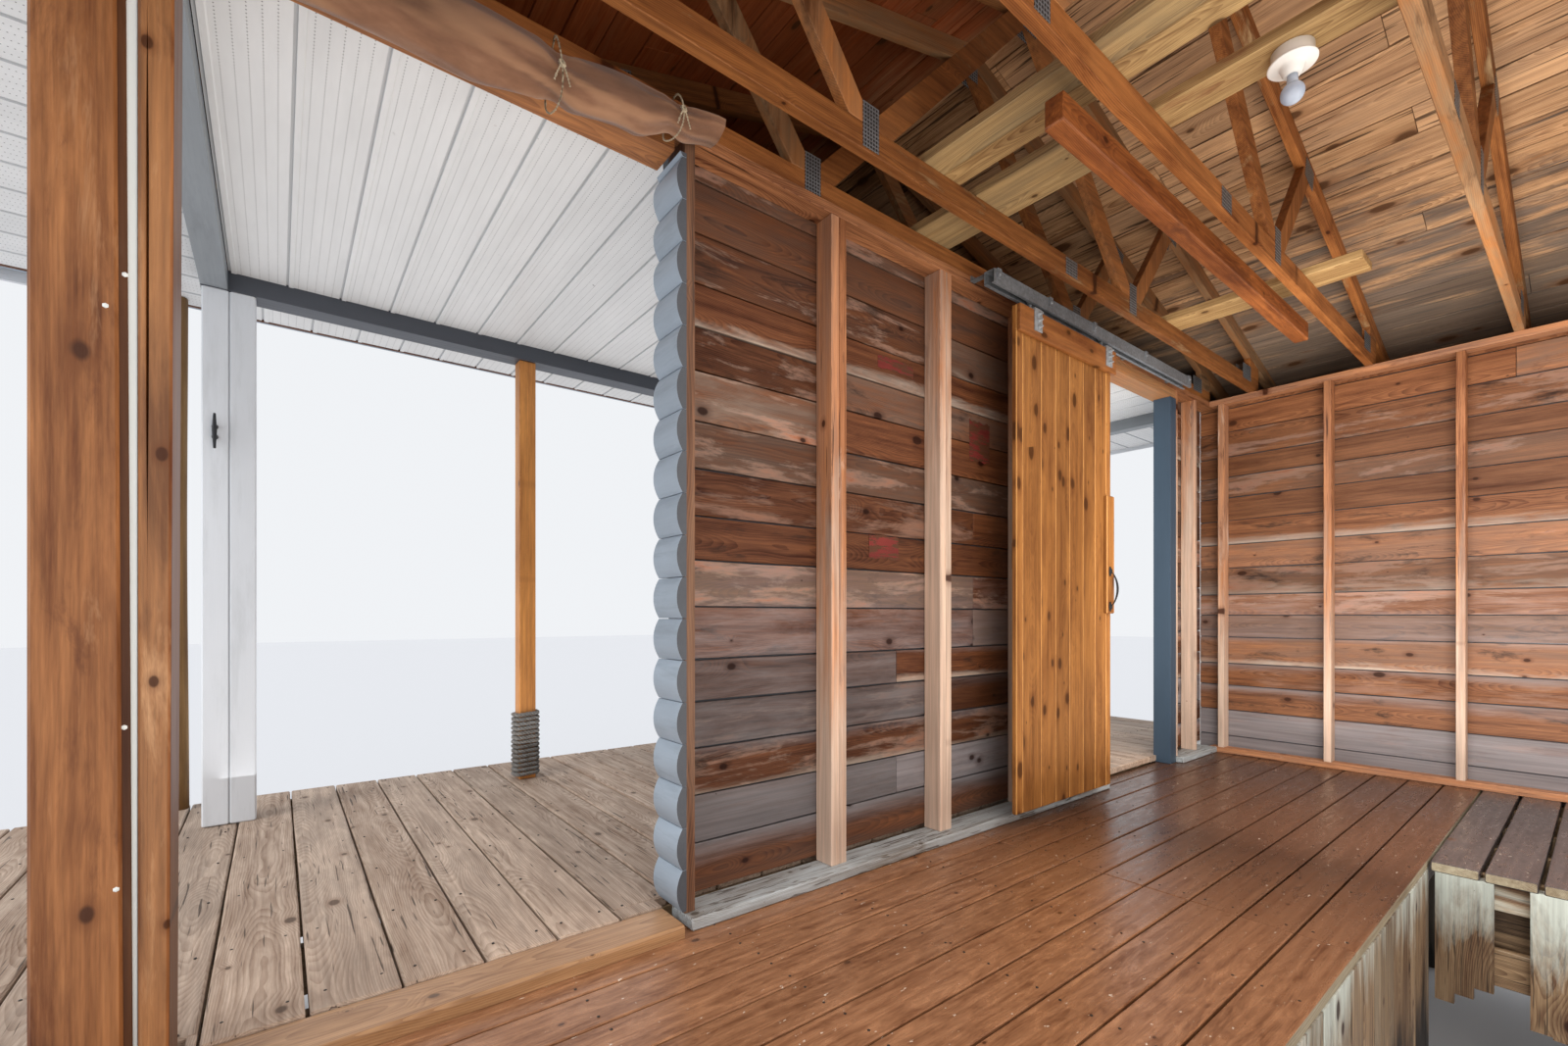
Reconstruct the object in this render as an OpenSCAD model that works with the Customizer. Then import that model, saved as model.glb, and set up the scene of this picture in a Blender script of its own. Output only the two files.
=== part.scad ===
/* [Building] */
// Width of the main bay over the studs
bay_w = 5700; // [5400:50:6000]
// Height from the main floor to the top of the wall plates
wall_h = 2500; // [2400:10:2600]
// Height of the main floor above the feet of the piles
floor_z = 1000; // [900:10:1200]
// Rise of the roof for each unit of run
roof_slope = 0.29; // [0.25:0.01:0.33]
// Length of the eaves beyond the side walls
eave = 760; // [600:10:800]

/* [Slip] */
// Clear width of the boat slip
slip_w = 2180; // [1800:20:2400]
// Distance of the slip's inland end from the origin
slip_head_y = 555; // [400:5:700]

/* [Land wall] */
// Left edge of the log sided panel
panel_x0 = -1532; // [-1600:2:-1400]
// Left edge of the doorway
door_x0 = 1215; // [1200:5:1230]
// Width of the doorway
door_w = 875; // [860:5:880]
// Clear height of the doorway
door_h = 2400; // [2300:5:2400]

/* [Sliding door] */
// Width of the sliding door
leaf_w = 885; // [880:5:900]
// Left edge of the sliding door where it rests
leaf_x0 = 120; // [100:5:140]
// Thickness of the sliding door's upright boards
leaf_t = 24; // [20:1:30]
// Thickness of its rails and of the pull board
rail_t = 20; // [18:1:24]
// Height of its rails
rail_h = 122; // [100:2:140]
// Width of a strap hanger
strap_w = 64; // [50:2:70]

/* [Porch] */
// Height of the porch deck above the main floor
porch_rise = 45; // [40:1:60]
// Outer face of the porch's outer beam
porch_y = 4000; // [3900:10:4100]
// Half the distance between the cedar posts
cedar_x = 1380; // [1300:10:1500]

/* [Log siding] */
// Height of one course
course = 130; // [120:1:140]
// Depth of a course's bulge
bulge = 20; // [12:1:24]

/* [Hidden] */
$fn = 48;
// half width, top of the plates, outer faces of the gable studs, ends of the roof
hw = bay_w / 2;
top_z = floor_z + wall_h;
land_y = 1975;
water_y = -4200;
roof_y = 4500;
stud = 89;
ply = 38;
sheath = 19;
skin = sheath + ply;
sw = slip_w / 2;
door_x1 = door_x0 + door_w;
jamb_t = 34;
// the doorway's right post stands this far out of the studs, and the siding starts this far from its face
post_out = 12;
reveal = 110;
// sliding door: low edge, top, room side of its boards, middle of the track over it
leaf_low = 70;
leaf_top = 2372;
leaf_y = land_y - 220;
// width and ends of its pull board, low edges of the ledges behind, length of a strap down from the top
pull_w = 78;
pull_z = [980, 1600];
ledge_z = [220, 1180, leaf_top - rail_h];
strap_drop = 96;
track_y = land_y - 201;
// box track: low face, height and ends
track_z = 2412;
track_h = 60;
track_x = [-60, 2060];
// top edge of the top chord above the plates, at the outer face of the studs and at the eave's end
heel = 260;
eave_x = hw + eave - 20;
function roof_h(x) = heel + roof_slope * (hw - abs(x));
slant = sqrt(1 + roof_slope * roof_slope);
// positions of the trusses: main bay, two gables, porch
truss_y = concat([for (k = [0:9]) 1635 - 610 * k], [land_y - 44, water_y + 19],
  [2560, 3170, 3780, 4381]);
// positions along the side walls
beam_ys = [-4080, -2700, -1320, 60];

module box(a, b) translate(a) cube(b - a);
module fbox(a, b) translate([0, 0, floor_z]) box(a, b);
module tbox(a, b) translate([0, 0, top_z]) box(a, b);
// an outline in x and z, drawn above the plates, made t thick along y
module slice(y, t) translate([0, y + t / 2, top_z]) rotate([90, 0, 0]) linear_extrude(t) children();

// log siding: boards inside, round courses outside; x along the wall, y outward, z from 0 to h
module siding_outline(h) {
  r = (pow(course / 2 - 2, 2) + bulge * bulge) / (2 * bulge);
  n = ceil(h / course);
  intersection() {
    square([skin, h]);
    union() {
      square([skin - bulge, h]);
      for (i = [0:n - 1]) translate([skin - r, (i + 0.5) * course]) intersection() {
        circle(r, $fn = 96);
        translate([r - bulge - 1, -course / 2]) square([bulge + 2, course]);
      }
    }
  }
}
module siding(len, h) rotate([90, 0, 90]) linear_extrude(len) siding_outline(h);

// a row of studs between two plates, along x, outer face at y = 0, inner face at y = -stud
module studs(xs, len, h) {
  translate([0, -stud, h - ply]) cube([len, stud, ply]);
  for (x = xs) translate([x, -stud, 0]) cube([ply, stud, h - ply]);
}

module pile(x, y, h) translate([x, y, 0]) cylinder(h = h, r = 100);
pile_h = floor_z - 406;
module walkway_piles() color("#6b6154") for (y = beam_ys) for (x = [-2680, -1330, 1330, 2680])
  pile(x, y, pile_h);
module land_piles() color("#6b6154") {
  for (x = [-2680, -1330, 0, 1330, 2680]) {
    pile(x, 760, pile_h);
    pile(x, 1880, pile_h);
    pile(x, 4000, floor_z - 317);
  }
}
module floor_beams() color("#5f564a") {
  for (y = beam_ys) for (s = [-1, 1])
    fbox([s > 0 ? sw + 110 : -hw, y - 70, -406], [s > 0 ? hw : -sw - 110, y + 70, -222]);
  for (y = [760, 1880]) fbox([-hw, y - 70, -406], [hw, y + 70, -222]);
}
module floor_joists() color("#6a5f50") {
  for (s = [-1, 1]) for (x = [sw + 110, sw + 540, sw + 960, hw - 340, hw - ply])
    fbox([s > 0 ? x : -x - ply, water_y, -222], [s > 0 ? x + ply : -x, 480, -ply]);
  for (i = [0:12]) fbox([-hw + i * (bay_w - ply) / 12, slip_head_y + 88, -222],
    [-hw + i * (bay_w - ply) / 12 + ply, land_y - 40, -ply]);
}
module porch_bearers() color("#5f564a") for (x = [-2680, -1330, 0, 1330, 2680])
  fbox([x - 60, land_y, -317], [x + 60, 4300, -133]);
module porch_joists() color("#6a5f50") {
  for (y = [land_y + skin + 4, 2440, 2870, 3300, 3740, 4180, 4340])
    fbox([-3500, y, -133], [3500, y + ply, porch_rise - ply]);
}

module left_deck() color("#7a3a22") fbox([-hw, water_y, -ply], [-sw, slip_head_y, 0]);
module right_deck() color("#7a3a22") fbox([sw, water_y, -ply], [hw, slip_head_y, 0]);
module head_deck() color("#7a3a22") fbox([-hw, slip_head_y, -ply], [hw, land_y, 0]);
module porch_deck() color("#a98562") {
  fbox([-3550, land_y + skin + 4, porch_rise - ply], [3550, 4400, porch_rise]);
  fbox([-2657, land_y - 5, porch_rise - ply], [panel_x0, land_y + skin + 4, porch_rise]);
  fbox([door_x0, land_y - 5, porch_rise - ply], [door_x1, land_y + skin + 4, porch_rise]);
  fbox([door_x1, land_y + post_out, porch_rise - ply], [door_x1 + reveal, land_y + skin + 4, porch_rise]);
}
module threshold() color("#6e4a33")
  translate([-2655, land_y - 155, floor_z]) rotate([90, 0, 90]) linear_extrude(panel_x0 + 2653)
    union() {
      square([145, ply - 10]);
      translate([10, 0]) square([135, ply]);
      translate([10, ply - 10]) circle(10);
    }

// boards from low up to the deck, on two walers
module lining_boards(len, low) {
  translate([0, 0, low]) cube([len, 25, floor_z - ply - low]);
  translate([0, 25, floor_z - 142]) cube([len, 60, 99]);
  translate([0, 25, floor_z - 426]) cube([len, 60, 138]);
}
module slip_head_lining() color("#8f9284")
  translate([-sw - 25, slip_head_y, 0]) lining_boards(slip_w + 50, 100);
module slip_side_linings() color("#8f9284") {
  translate([-sw, water_y, 0]) rotate([0, 0, 90]) lining_boards(slip_head_y - water_y, 430);
  translate([sw, slip_head_y, 0]) rotate([0, 0, -90]) lining_boards(slip_head_y - water_y, 430);
}

module corner_post() color("#8a4f28") {
  fbox([-hw, land_y - 145, 0], [-hw + 134, land_y, wall_h - ply]);
  fbox([-hw + 134, land_y - 125, 0], [-hw + 140, land_y - 5, wall_h - ply]);
  fbox([-hw + 140, land_y - 145, 0], [-hw + 193, land_y, wall_h - ply]);
}
module land_wall_studs() color("#9a5a30") {
  // top plate over the whole wall, base plates, studs and jamb studs
  fbox([-hw, land_y - stud, wall_h - ply], [hw, land_y, wall_h]);
  fbox([panel_x0 + jamb_t, land_y - 140, 0], [door_x0 - ply, land_y, ply]);
  fbox([door_x1 + stud, land_y - 140, 0], [hw - stud, land_y, ply]);
  for (x = [panel_x0 + jamb_t, -880, -842, -250, -212, 390, 1000, door_x0 - 2 * ply, door_x1 + stud, 2500])
    fbox([x, land_y - stud, ply], [x + ply, land_y, wall_h - ply]);
}
module land_siding_panel() color("#76828c")
  translate([panel_x0 + jamb_t, land_y, floor_z + 50])
    siding(door_x0 - ply - panel_x0 - jamb_t, wall_h - 62);
// short siding pieces that wrap the panel's end in the open bay
module jamb_siding() color("#6b7884") intersection() {
  translate([panel_x0 + skin, land_y - stud - 12, floor_z + 50]) rotate([0, 0, 90])
    siding(stud + 12 + skin, wall_h - 145);
  fbox([panel_x0 - 10, land_y - 300, 0], [panel_x0 + jamb_t, land_y + 100, wall_h]);
}
module land_siding_corner() color("#76828c")
  translate([door_x1 + reveal, land_y, floor_z + 50]) siding(hw - door_x1 - reveal, wall_h - 62);
module headers() color("#8a5530") {
  fbox([-hw + 193, land_y - stud, wall_h - 95], [panel_x0, land_y + 30, wall_h - ply]);
  fbox([door_x0 - ply, land_y - stud, door_h], [door_x1 + stud, land_y + 30, wall_h - ply]);
  fbox([-hw, 550, wall_h - 184], [-hw + stud, land_y - 145, wall_h]);
  fbox([-1240, water_y - 30, wall_h - 184], [1240, water_y + stud, wall_h - ply]);
}
module door_jambs() color("#56677c") {
  fbox([door_x0 - ply, land_y - stud - 4, 0], [door_x0, land_y + skin, door_h]);
  fbox([door_x1, land_y - stud - 4, 0], [door_x1 + stud, land_y + post_out, door_h]);
}

module right_wall_studs() color("#8a5a38")
  translate([hw, water_y, floor_z]) rotate([0, 0, 90]) translate([0, stud, 0]) {
    studs([for (i = [0:10]) 95 + i * 590], land_y - water_y - stud, wall_h);
    translate([0, -stud, 0]) cube([land_y - water_y - stud, stud, ply]);
  }
module right_siding() color("#76828c")
  translate([hw, land_y, floor_z - 220]) rotate([0, 0, -90]) siding(land_y - water_y, wall_h + 218);
module left_wall_studs() color("#8a5a38")
  translate([-hw, water_y, floor_z]) rotate([0, 0, 90]) {
    studs([for (i = [0:7]) 95 + i * 590, 4655], 4750, wall_h);
    translate([0, -stud, 0]) cube([4750, stud, ply]);
  }
module left_siding() color("#76828c")
  translate([-hw, water_y, floor_z - 220]) rotate([0, 0, 90]) siding(4750, wall_h + 218);

module water_wall_studs() color("#8a5a38") {
  for (s = [-1, 1]) {
    for (x = [1240, 1278, 1850, 2480])
      fbox([s > 0 ? x : -x - ply, water_y, ply], [s > 0 ? x + ply : -x, water_y + stud, wall_h - ply]);
    fbox([s > 0 ? 1240 : -hw + stud, water_y, 0], [s > 0 ? hw - stud : -1240, water_y + stud, ply]);
  }
  fbox([-hw + stud, water_y, wall_h - ply], [hw - stud, water_y + stud, wall_h]);
}
module water_siding() color("#76828c") {
  translate([-1240, water_y, floor_z - 220]) rotate([0, 0, 180]) siding(hw - 1240, wall_h + 218);
  translate([hw, water_y, floor_z - 220]) rotate([0, 0, 180]) siding(hw - 1240, wall_h + 218);
}
// gable outline above the plates, under the roof boards
module gable_outline(x1, z0) polygon([[-x1, z0], [x1, z0], [x1, roof_h(x1) - 3], [0, roof_h(0) - 3],
  [-x1, roof_h(x1) - 3]]);
module water_gable() color("#76828c") intersection() {
  translate([hw, water_y, top_z]) rotate([0, 0, 180]) siding(bay_w, 1100);
  slice(water_y - 40, 200) gable_outline(hw, 0);
}
module land_gable() color("#76828c") intersection() {
  translate([-eave_x, 4400, top_z - 12]) siding(2 * eave_x, 1120);
  slice(4430, 200) gable_outline(eave_x, -12);
}
module corner_boards() color("#e6e6e2") for (s = [-1, 1]) for (e = [-1, 1])
  if (s > 0 || e < 0) fbox([s > 0 ? hw : -hw - skin, e > 0 ? land_y : water_y - skin, -220],
    [s > 0 ? hw + skin : -hw, e > 0 ? land_y + skin : water_y, wall_h - 2]);

// truss members as outlines in x and z above the plates
module bottom_chord() translate([-hw, 0]) square([bay_w, stud]);
module top_chord() intersection() {
  polygon([[0, roof_h(0)], [eave_x, roof_h(eave_x)], [eave_x, roof_h(eave_x) - stud * slant],
    [0, roof_h(0) - stud * slant]]);
  translate([0, 0]) square([eave_x, 2000]);
}
module web(x0, z0, x1, z1, w = 89) {
  l = sqrt(pow(x1 - x0, 2) + pow(z1 - z0, 2));
  translate([x0, z0]) rotate(atan2(z1 - z0, x1 - x0)) translate([0, -w / 2]) square([l, w]);
}
module webs_side() difference() {
  union() {
    web(hw / 3, 40, hw / 2, roof_h(hw / 2) - 40);
    web(hw / 3, 40, 0, roof_h(0) - 60);
    translate([hw - 160, 0]) square([160, heel]);
  }
  bottom_chord();
  top_chord_cut();
  // the two webs butt with a thin gap, and so do the two sides' webs under the ridge
  translate([hw / 3 - 1, 0]) square([2, 400]);
  translate([-500, -10]) square([501, 3000]);
}
module top_chord_cut() polygon([[-1, roof_h(0) - stud * slant], [eave_x, roof_h(eave_x) - stud * slant],
  [eave_x, 3000], [-1, 3000]]);
module bottom_chords() color("#a5673a") for (y = truss_y) slice(y, ply) bottom_chord();
module top_chords_right() color("#8d552f") for (y = truss_y) slice(y, ply) difference() {
  top_chord();
  bottom_chord();
}
module top_chords_left() color("#8d552f") mirror([1, 0, 0]) top_chords_right();
module truss_webs() color("#96592f") for (y = truss_y) for (m = [0, 1]) mirror([m, 0, 0])
  slice(y, ply) webs_side();

// boards laid flat over the bottom chords, and a hoist beam under them
module loft_timbers() color("#b98a5c") {
  tbox([-675, 380, stud], [-470, 1690, stud + ply]);
  tbox([-375, 1245, stud], [-155, 1955, stud + ply]);
  tbox([-285, -230, stud], [-155, 1055, stud + ply]);
  tbox([1360, 800, stud], [1550, 1700, stud + ply]);
  tbox([-700, 1085, -92], [1750, 1145, 0]);
}
// porcelain lamp under the middle board: drum, dish and neck, then the bulb
lamp_at = [-207, 668, top_z + stud];
module lamp_holder() color("#ececea") translate(lamp_at) mirror([0, 0, 1]) {
  cylinder(h = 37, r = 52);
  translate([0, 0, 34]) cylinder(h = 10, r1 = 60, r2 = 57);
  translate([0, 0, 44]) cylinder(h = 28, r1 = 30, r2 = 21);
}
module lamp_bulb() color("#dfe3ea") translate([lamp_at[0], lamp_at[1], lamp_at[2] - 72]) mirror([0, 0, 1])
  rotate_extrude() union() {
    square([14, 34]);
    difference() {
      translate([0, 51]) circle(30);
      translate([-40, 0]) square([40, 100]);
    }
  }

// roof layers: outlines in x and z above the plates
module layer(a, b) polygon([[0, roof_h(0) + a], [eave_x, roof_h(eave_x) + a],
  [eave_x, roof_h(eave_x) + b], [0, roof_h(0) + b]]);
module roof_boards_right() color("#9c7a54") slice(0, 2 * roof_y) layer(0, 16);
module roof_boards_left() color("#9c7a54") mirror([1, 0, 0]) slice(0, 2 * roof_y) layer(0, 16);
module roofing() color("#4a4d50") slice(0, 2 * roof_y) union() {
  for (m = [0, 1]) mirror([m, 0]) layer(16, 26);
  polygon([[0, roof_h(0) + 26], [150, roof_h(150) + 26], [150, roof_h(150) + 34], [0, roof_h(0) + 34],
    [-150, roof_h(150) + 34], [-150, roof_h(150) + 26]]);
}
module fascias() color("#e6e6e2") {
  for (s = [-1, 1]) tbox([s > 0 ? eave_x : -eave_x - 20, -roof_y, -40], [s > 0 ? eave_x + 20 : -eave_x, roof_y,
    roof_h(eave_x) + 14]);
  slice(roof_y + 10, 20) barge_outline();
  slice(-roof_y - 10, 20) barge_outline();
}
module barge_outline() for (m = [0, 1]) mirror([m, 0]) polygon([[0, roof_h(0) + 16],
  [eave_x + 20, roof_h(eave_x + 20) + 16], [eave_x + 20, -40], [eave_x - 300, -40],
  [0, roof_h(0) - 150]]);

module porch_ceiling() color("#eceeee") {
  tbox([-2670, land_y + skin + 2, -12], [2670, porch_y - 122, -2]);
  tbox([-2765, porch_y + 2, -12], [2765, 4398, -2]);
}
module eave_ceilings() color("#eceeee") for (s = [-1, 1]) {
  tbox([s > 0 ? 2767 : -eave_x, land_y + skin + 2, -12], [s > 0 ? eave_x : -2767, 4398, -2]);
  tbox([s > 0 ? hw + skin + 2 : -eave_x, -roof_y, -12], [s > 0 ? eave_x : -hw - skin - 2,
    land_y + skin + 2, -2]);
}
module porch_beams() color("#4c5260") {
  tbox([-2765, porch_y - 120, -90], [2765, porch_y, -1]);
  for (s = [-1, 1]) tbox([s > 0 ? 2672 : -2765, land_y + skin + 1, -90],
    [s > 0 ? 2765 : -2672, porch_y - 120, -1]);
}
module white_posts() color("#e3e6ea") for (s = [-1, 1])
  fbox([s > 0 ? 2575 : -2760, porch_y - 120, porch_rise], [s > 0 ? 2760 : -2575, porch_y, wall_h - 90]);
module cedar_posts() color("#c0743c") for (s = [-1, 1])
  fbox([s * cedar_x - 44, porch_y - 105, porch_rise], [s * cedar_x + 45, porch_y - 16, wall_h - 90]);
module log_post() color("#8f7350") translate([-2870, 4330, floor_z + porch_rise])
  cylinder(h = wall_h - 12 - porch_rise, r = 38);

// upright boards, a rail along the top, a pull board at the free edge, ledges on the wall side
module sliding_door() color("#c8793b") {
  leaf_x1 = leaf_x0 + leaf_w;
  fbox([leaf_x0, leaf_y, leaf_low], [leaf_x1, leaf_y + leaf_t, leaf_top]);
  fbox([leaf_x0, leaf_y - rail_t, leaf_top - rail_h], [leaf_x1 + 20, leaf_y, leaf_top]);
  fbox([leaf_x1 - pull_w, leaf_y - rail_t, pull_z[0]], [leaf_x1, leaf_y, pull_z[1]]);
  for (z = ledge_z)
    fbox([leaf_x0 + 30, leaf_y + leaf_t, z], [leaf_x1 - 30, leaf_y + leaf_t + rail_t, z + rail_h]);
}
// a strap on the rail's face, bent over the door's top, and a rod up to a pair of wheels in the track
module door_hangers() color("#9fa4a8") for (x = [leaf_x0 + 142, leaf_x0 + leaf_w - 63]) {
  face = leaf_y - rail_t;
  fbox([x - strap_w / 2, face - 5, leaf_top - strap_drop], [x + strap_w / 2, face, leaf_top + 8]);
  fbox([x - strap_w / 2, face, leaf_top], [x + strap_w / 2, track_y + 14, leaf_top + 8]);
  fbox([x - 6, track_y - 5, leaf_top + 8], [x + 6, track_y + 5, track_z + 30]);
  for (e = [-1, 1]) translate([x, track_y + e * 9, floor_z + track_z + 23]) rotate([90, 0, 0])
    cylinder(h = 8, r = 13, center = true);
}
module door_track() color("#8d979f") {
  // box track with a slot below
  translate([track_x[0], track_y, floor_z + track_z]) rotate([90, 0, 90])
    linear_extrude(track_x[1] - track_x[0]) difference() {
      translate([-26, 0]) square([52, track_h]);
      translate([-23, 3]) square([46, track_h - 6]);
      translate([-11, -1]) square([22, 5]);
    }
  // brackets that hook over the track's face and reach back to the wall's top plate
  for (x = [track_x[0] + 20, 380, 805, 1400, track_x[1] - 50]) {
    fbox([x, track_y - 31, track_z + 22], [x + 30, track_y - 26, track_z + track_h]);
    fbox([x, track_y - 31, track_z + track_h], [x + 30, land_y - stud, track_z + track_h + 6]);
    fbox([x, land_y - stud - 6, track_z + track_h + 6], [x + 30, land_y - stud, track_z + track_h + 26]);
  }
}
// the rolled canvas: oval sections [x, low, high] above the main floor, sagging between its ties
roll_cuts = [[-2640, 2262, 2470], [-2420, 2262, 2480], [-2140, 2258, 2480], [-1930, 2292, 2468],
  [-1700, 2330, 2480], [-1580, 2380, 2486], [-1430, 2425, 2492]];
roll_sides = 20;
module canvas_roll() color("#4a3527") {
  n = len(roll_cuts);
  polyhedron(points = [for (c = roll_cuts) for (k = [0:roll_sides - 1]) let (a = 360 * k / roll_sides)
      [c[0], land_y - 168 + 60 * sin(a), floor_z + (c[1] + c[2]) / 2 + (c[2] - c[1]) / 2 * cos(a)]],
    faces = concat([[for (k = [0:roll_sides - 1]) k]],
      [for (i = [0:n - 2]) for (k = [0:roll_sides - 1]) let (a = i * roll_sides, b = (k + 1) % roll_sides)
        [a + k, a + roll_sides + k, a + roll_sides + b, a + b]],
      [[for (k = [roll_sides - 1:-1:0]) (n - 1) * roll_sides + k]]));
}
module canvas_ties() color("#c9b48a") for (i = [3, 5]) {
  // a loop of rope around the roll and up to the header
  c = roll_cuts[i];
  translate([c[0] - 4, land_y - 168, floor_z + (c[1] + c[2]) / 2]) rotate([0, 90, 0])
    linear_extrude(9) difference() {
      scale([(c[2] - c[1] + 18) / 120, 1.14]) circle(60, $fn = 40);
      scale([(c[2] - c[1] + 6) / 120, 1.05]) circle(60, $fn = 40);
    }
  fbox([c[0] - 4, land_y - 101, (c[1] + c[2]) / 2], [c[0] + 5, land_y - stud, 2490]);
}

walkway_piles();
land_piles();
floor_beams();
floor_joists();
porch_bearers();
porch_joists();
left_deck();
right_deck();
head_deck();
porch_deck();
threshold();
slip_head_lining();
slip_side_linings();
corner_post();
land_wall_studs();
land_siding_panel();
land_siding_corner();
jamb_siding();
headers();
door_jambs();
right_wall_studs();
right_siding();
left_wall_studs();
left_siding();
water_wall_studs();
water_siding();
water_gable();
corner_boards();
bottom_chords();
top_chords_left();
top_chords_right();
truss_webs();
loft_timbers();
lamp_holder();
lamp_bulb();
roof_boards_left();
roof_boards_right();
roofing();
fascias();
land_gable();
porch_ceiling();
eave_ceilings();
porch_beams();
white_posts();
cedar_posts();
log_post();
sliding_door();
door_hangers();
door_track();
canvas_roll();
canvas_ties();
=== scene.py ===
import bpy
import bmesh
import random
from math import atan, ceil, cos, exp, hypot, pi, radians, sin, sqrt
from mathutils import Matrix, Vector


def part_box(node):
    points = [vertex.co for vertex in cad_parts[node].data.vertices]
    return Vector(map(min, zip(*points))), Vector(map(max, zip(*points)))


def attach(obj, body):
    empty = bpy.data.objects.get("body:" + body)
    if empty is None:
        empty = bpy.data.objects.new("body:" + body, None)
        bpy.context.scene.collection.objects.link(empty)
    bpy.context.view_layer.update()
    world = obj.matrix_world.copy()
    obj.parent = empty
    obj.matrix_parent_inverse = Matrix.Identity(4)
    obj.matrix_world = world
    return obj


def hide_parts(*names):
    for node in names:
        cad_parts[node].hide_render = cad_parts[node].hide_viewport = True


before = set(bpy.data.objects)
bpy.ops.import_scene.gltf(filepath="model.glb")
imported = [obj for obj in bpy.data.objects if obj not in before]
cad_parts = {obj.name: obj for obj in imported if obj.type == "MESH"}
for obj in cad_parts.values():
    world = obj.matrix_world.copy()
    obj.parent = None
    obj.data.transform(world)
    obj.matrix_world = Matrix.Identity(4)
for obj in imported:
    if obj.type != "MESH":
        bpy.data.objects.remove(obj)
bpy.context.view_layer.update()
sc = bpy.context.scene
X, Y, Z = Vector((1, 0, 0)), Vector((0, 1, 0)), Vector((0, 0, 1))
# Heights of the main floor and of the top of the wall plates, and the faces of the framing
FLOOR, TOP = 1.0, 3.5
HALF_W, LAND_Y, WATER_Y, LEFT_L, MOUTH = 2.85, 1.975, -4.2, 4.75, 1.24
STUD, PLY, SHEATH, SKIN = 0.089, 0.038, 0.019, 0.057
HEEL, SLOPE, EAVE_X, ROOF_Y = 0.26, 0.29, 3.59, 4.5
BAY_X, PANEL_X, DOOR_X0, DOOR_X1, CORNER_X = -1.532, -1.498, 1.215, 2.09, 2.2


def roof_z(x):
    """Height of the top edge of the top chords."""
    return TOP + HEEL + SLOPE * (HALF_W - abs(x))


def roof_frame(s):
    """Directions down and out of one roof slope, its top line and its length."""
    down, out = Vector((s, 0, -SLOPE)).normalized(), Vector((s * SLOPE, 0, 1)).normalized()
    return down, out, Vector((0, 0, roof_z(0))), EAVE_X * hypot(1, SLOPE)


def lin(code):
    """A screen colour such as 8a5a36 as the linear colour that a shader takes."""
    vals = [int(code[i:i + 2], 16) / 255 for i in (0, 2, 4)]
    return [v / 12.92 if v <= 0.04045 else ((v + 0.055) / 1.055) ** 2.4 for v in vals]


def place(name, data):
    ob = bpy.data.objects.new(name, data)
    sc.collection.objects.link(ob)
    return ob


# Camera
cam = bpy.data.cameras.new("cam")
cam.sensor_width = 36
cam.lens = 14.895
cam.shift_y = 0.0589
cam.clip_start = 0.02
cam_ob = place("cam", cam)
cam_ob.location = (-2.5, 0.1, 1.97)
cam_ob.rotation_euler = (radians(90), 0, radians(-38))
sc.camera = cam_ob


def parts(n):
    """The fractions from 0 to 1 in n steps."""
    return [k / n for k in range(n + 1)]


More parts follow.
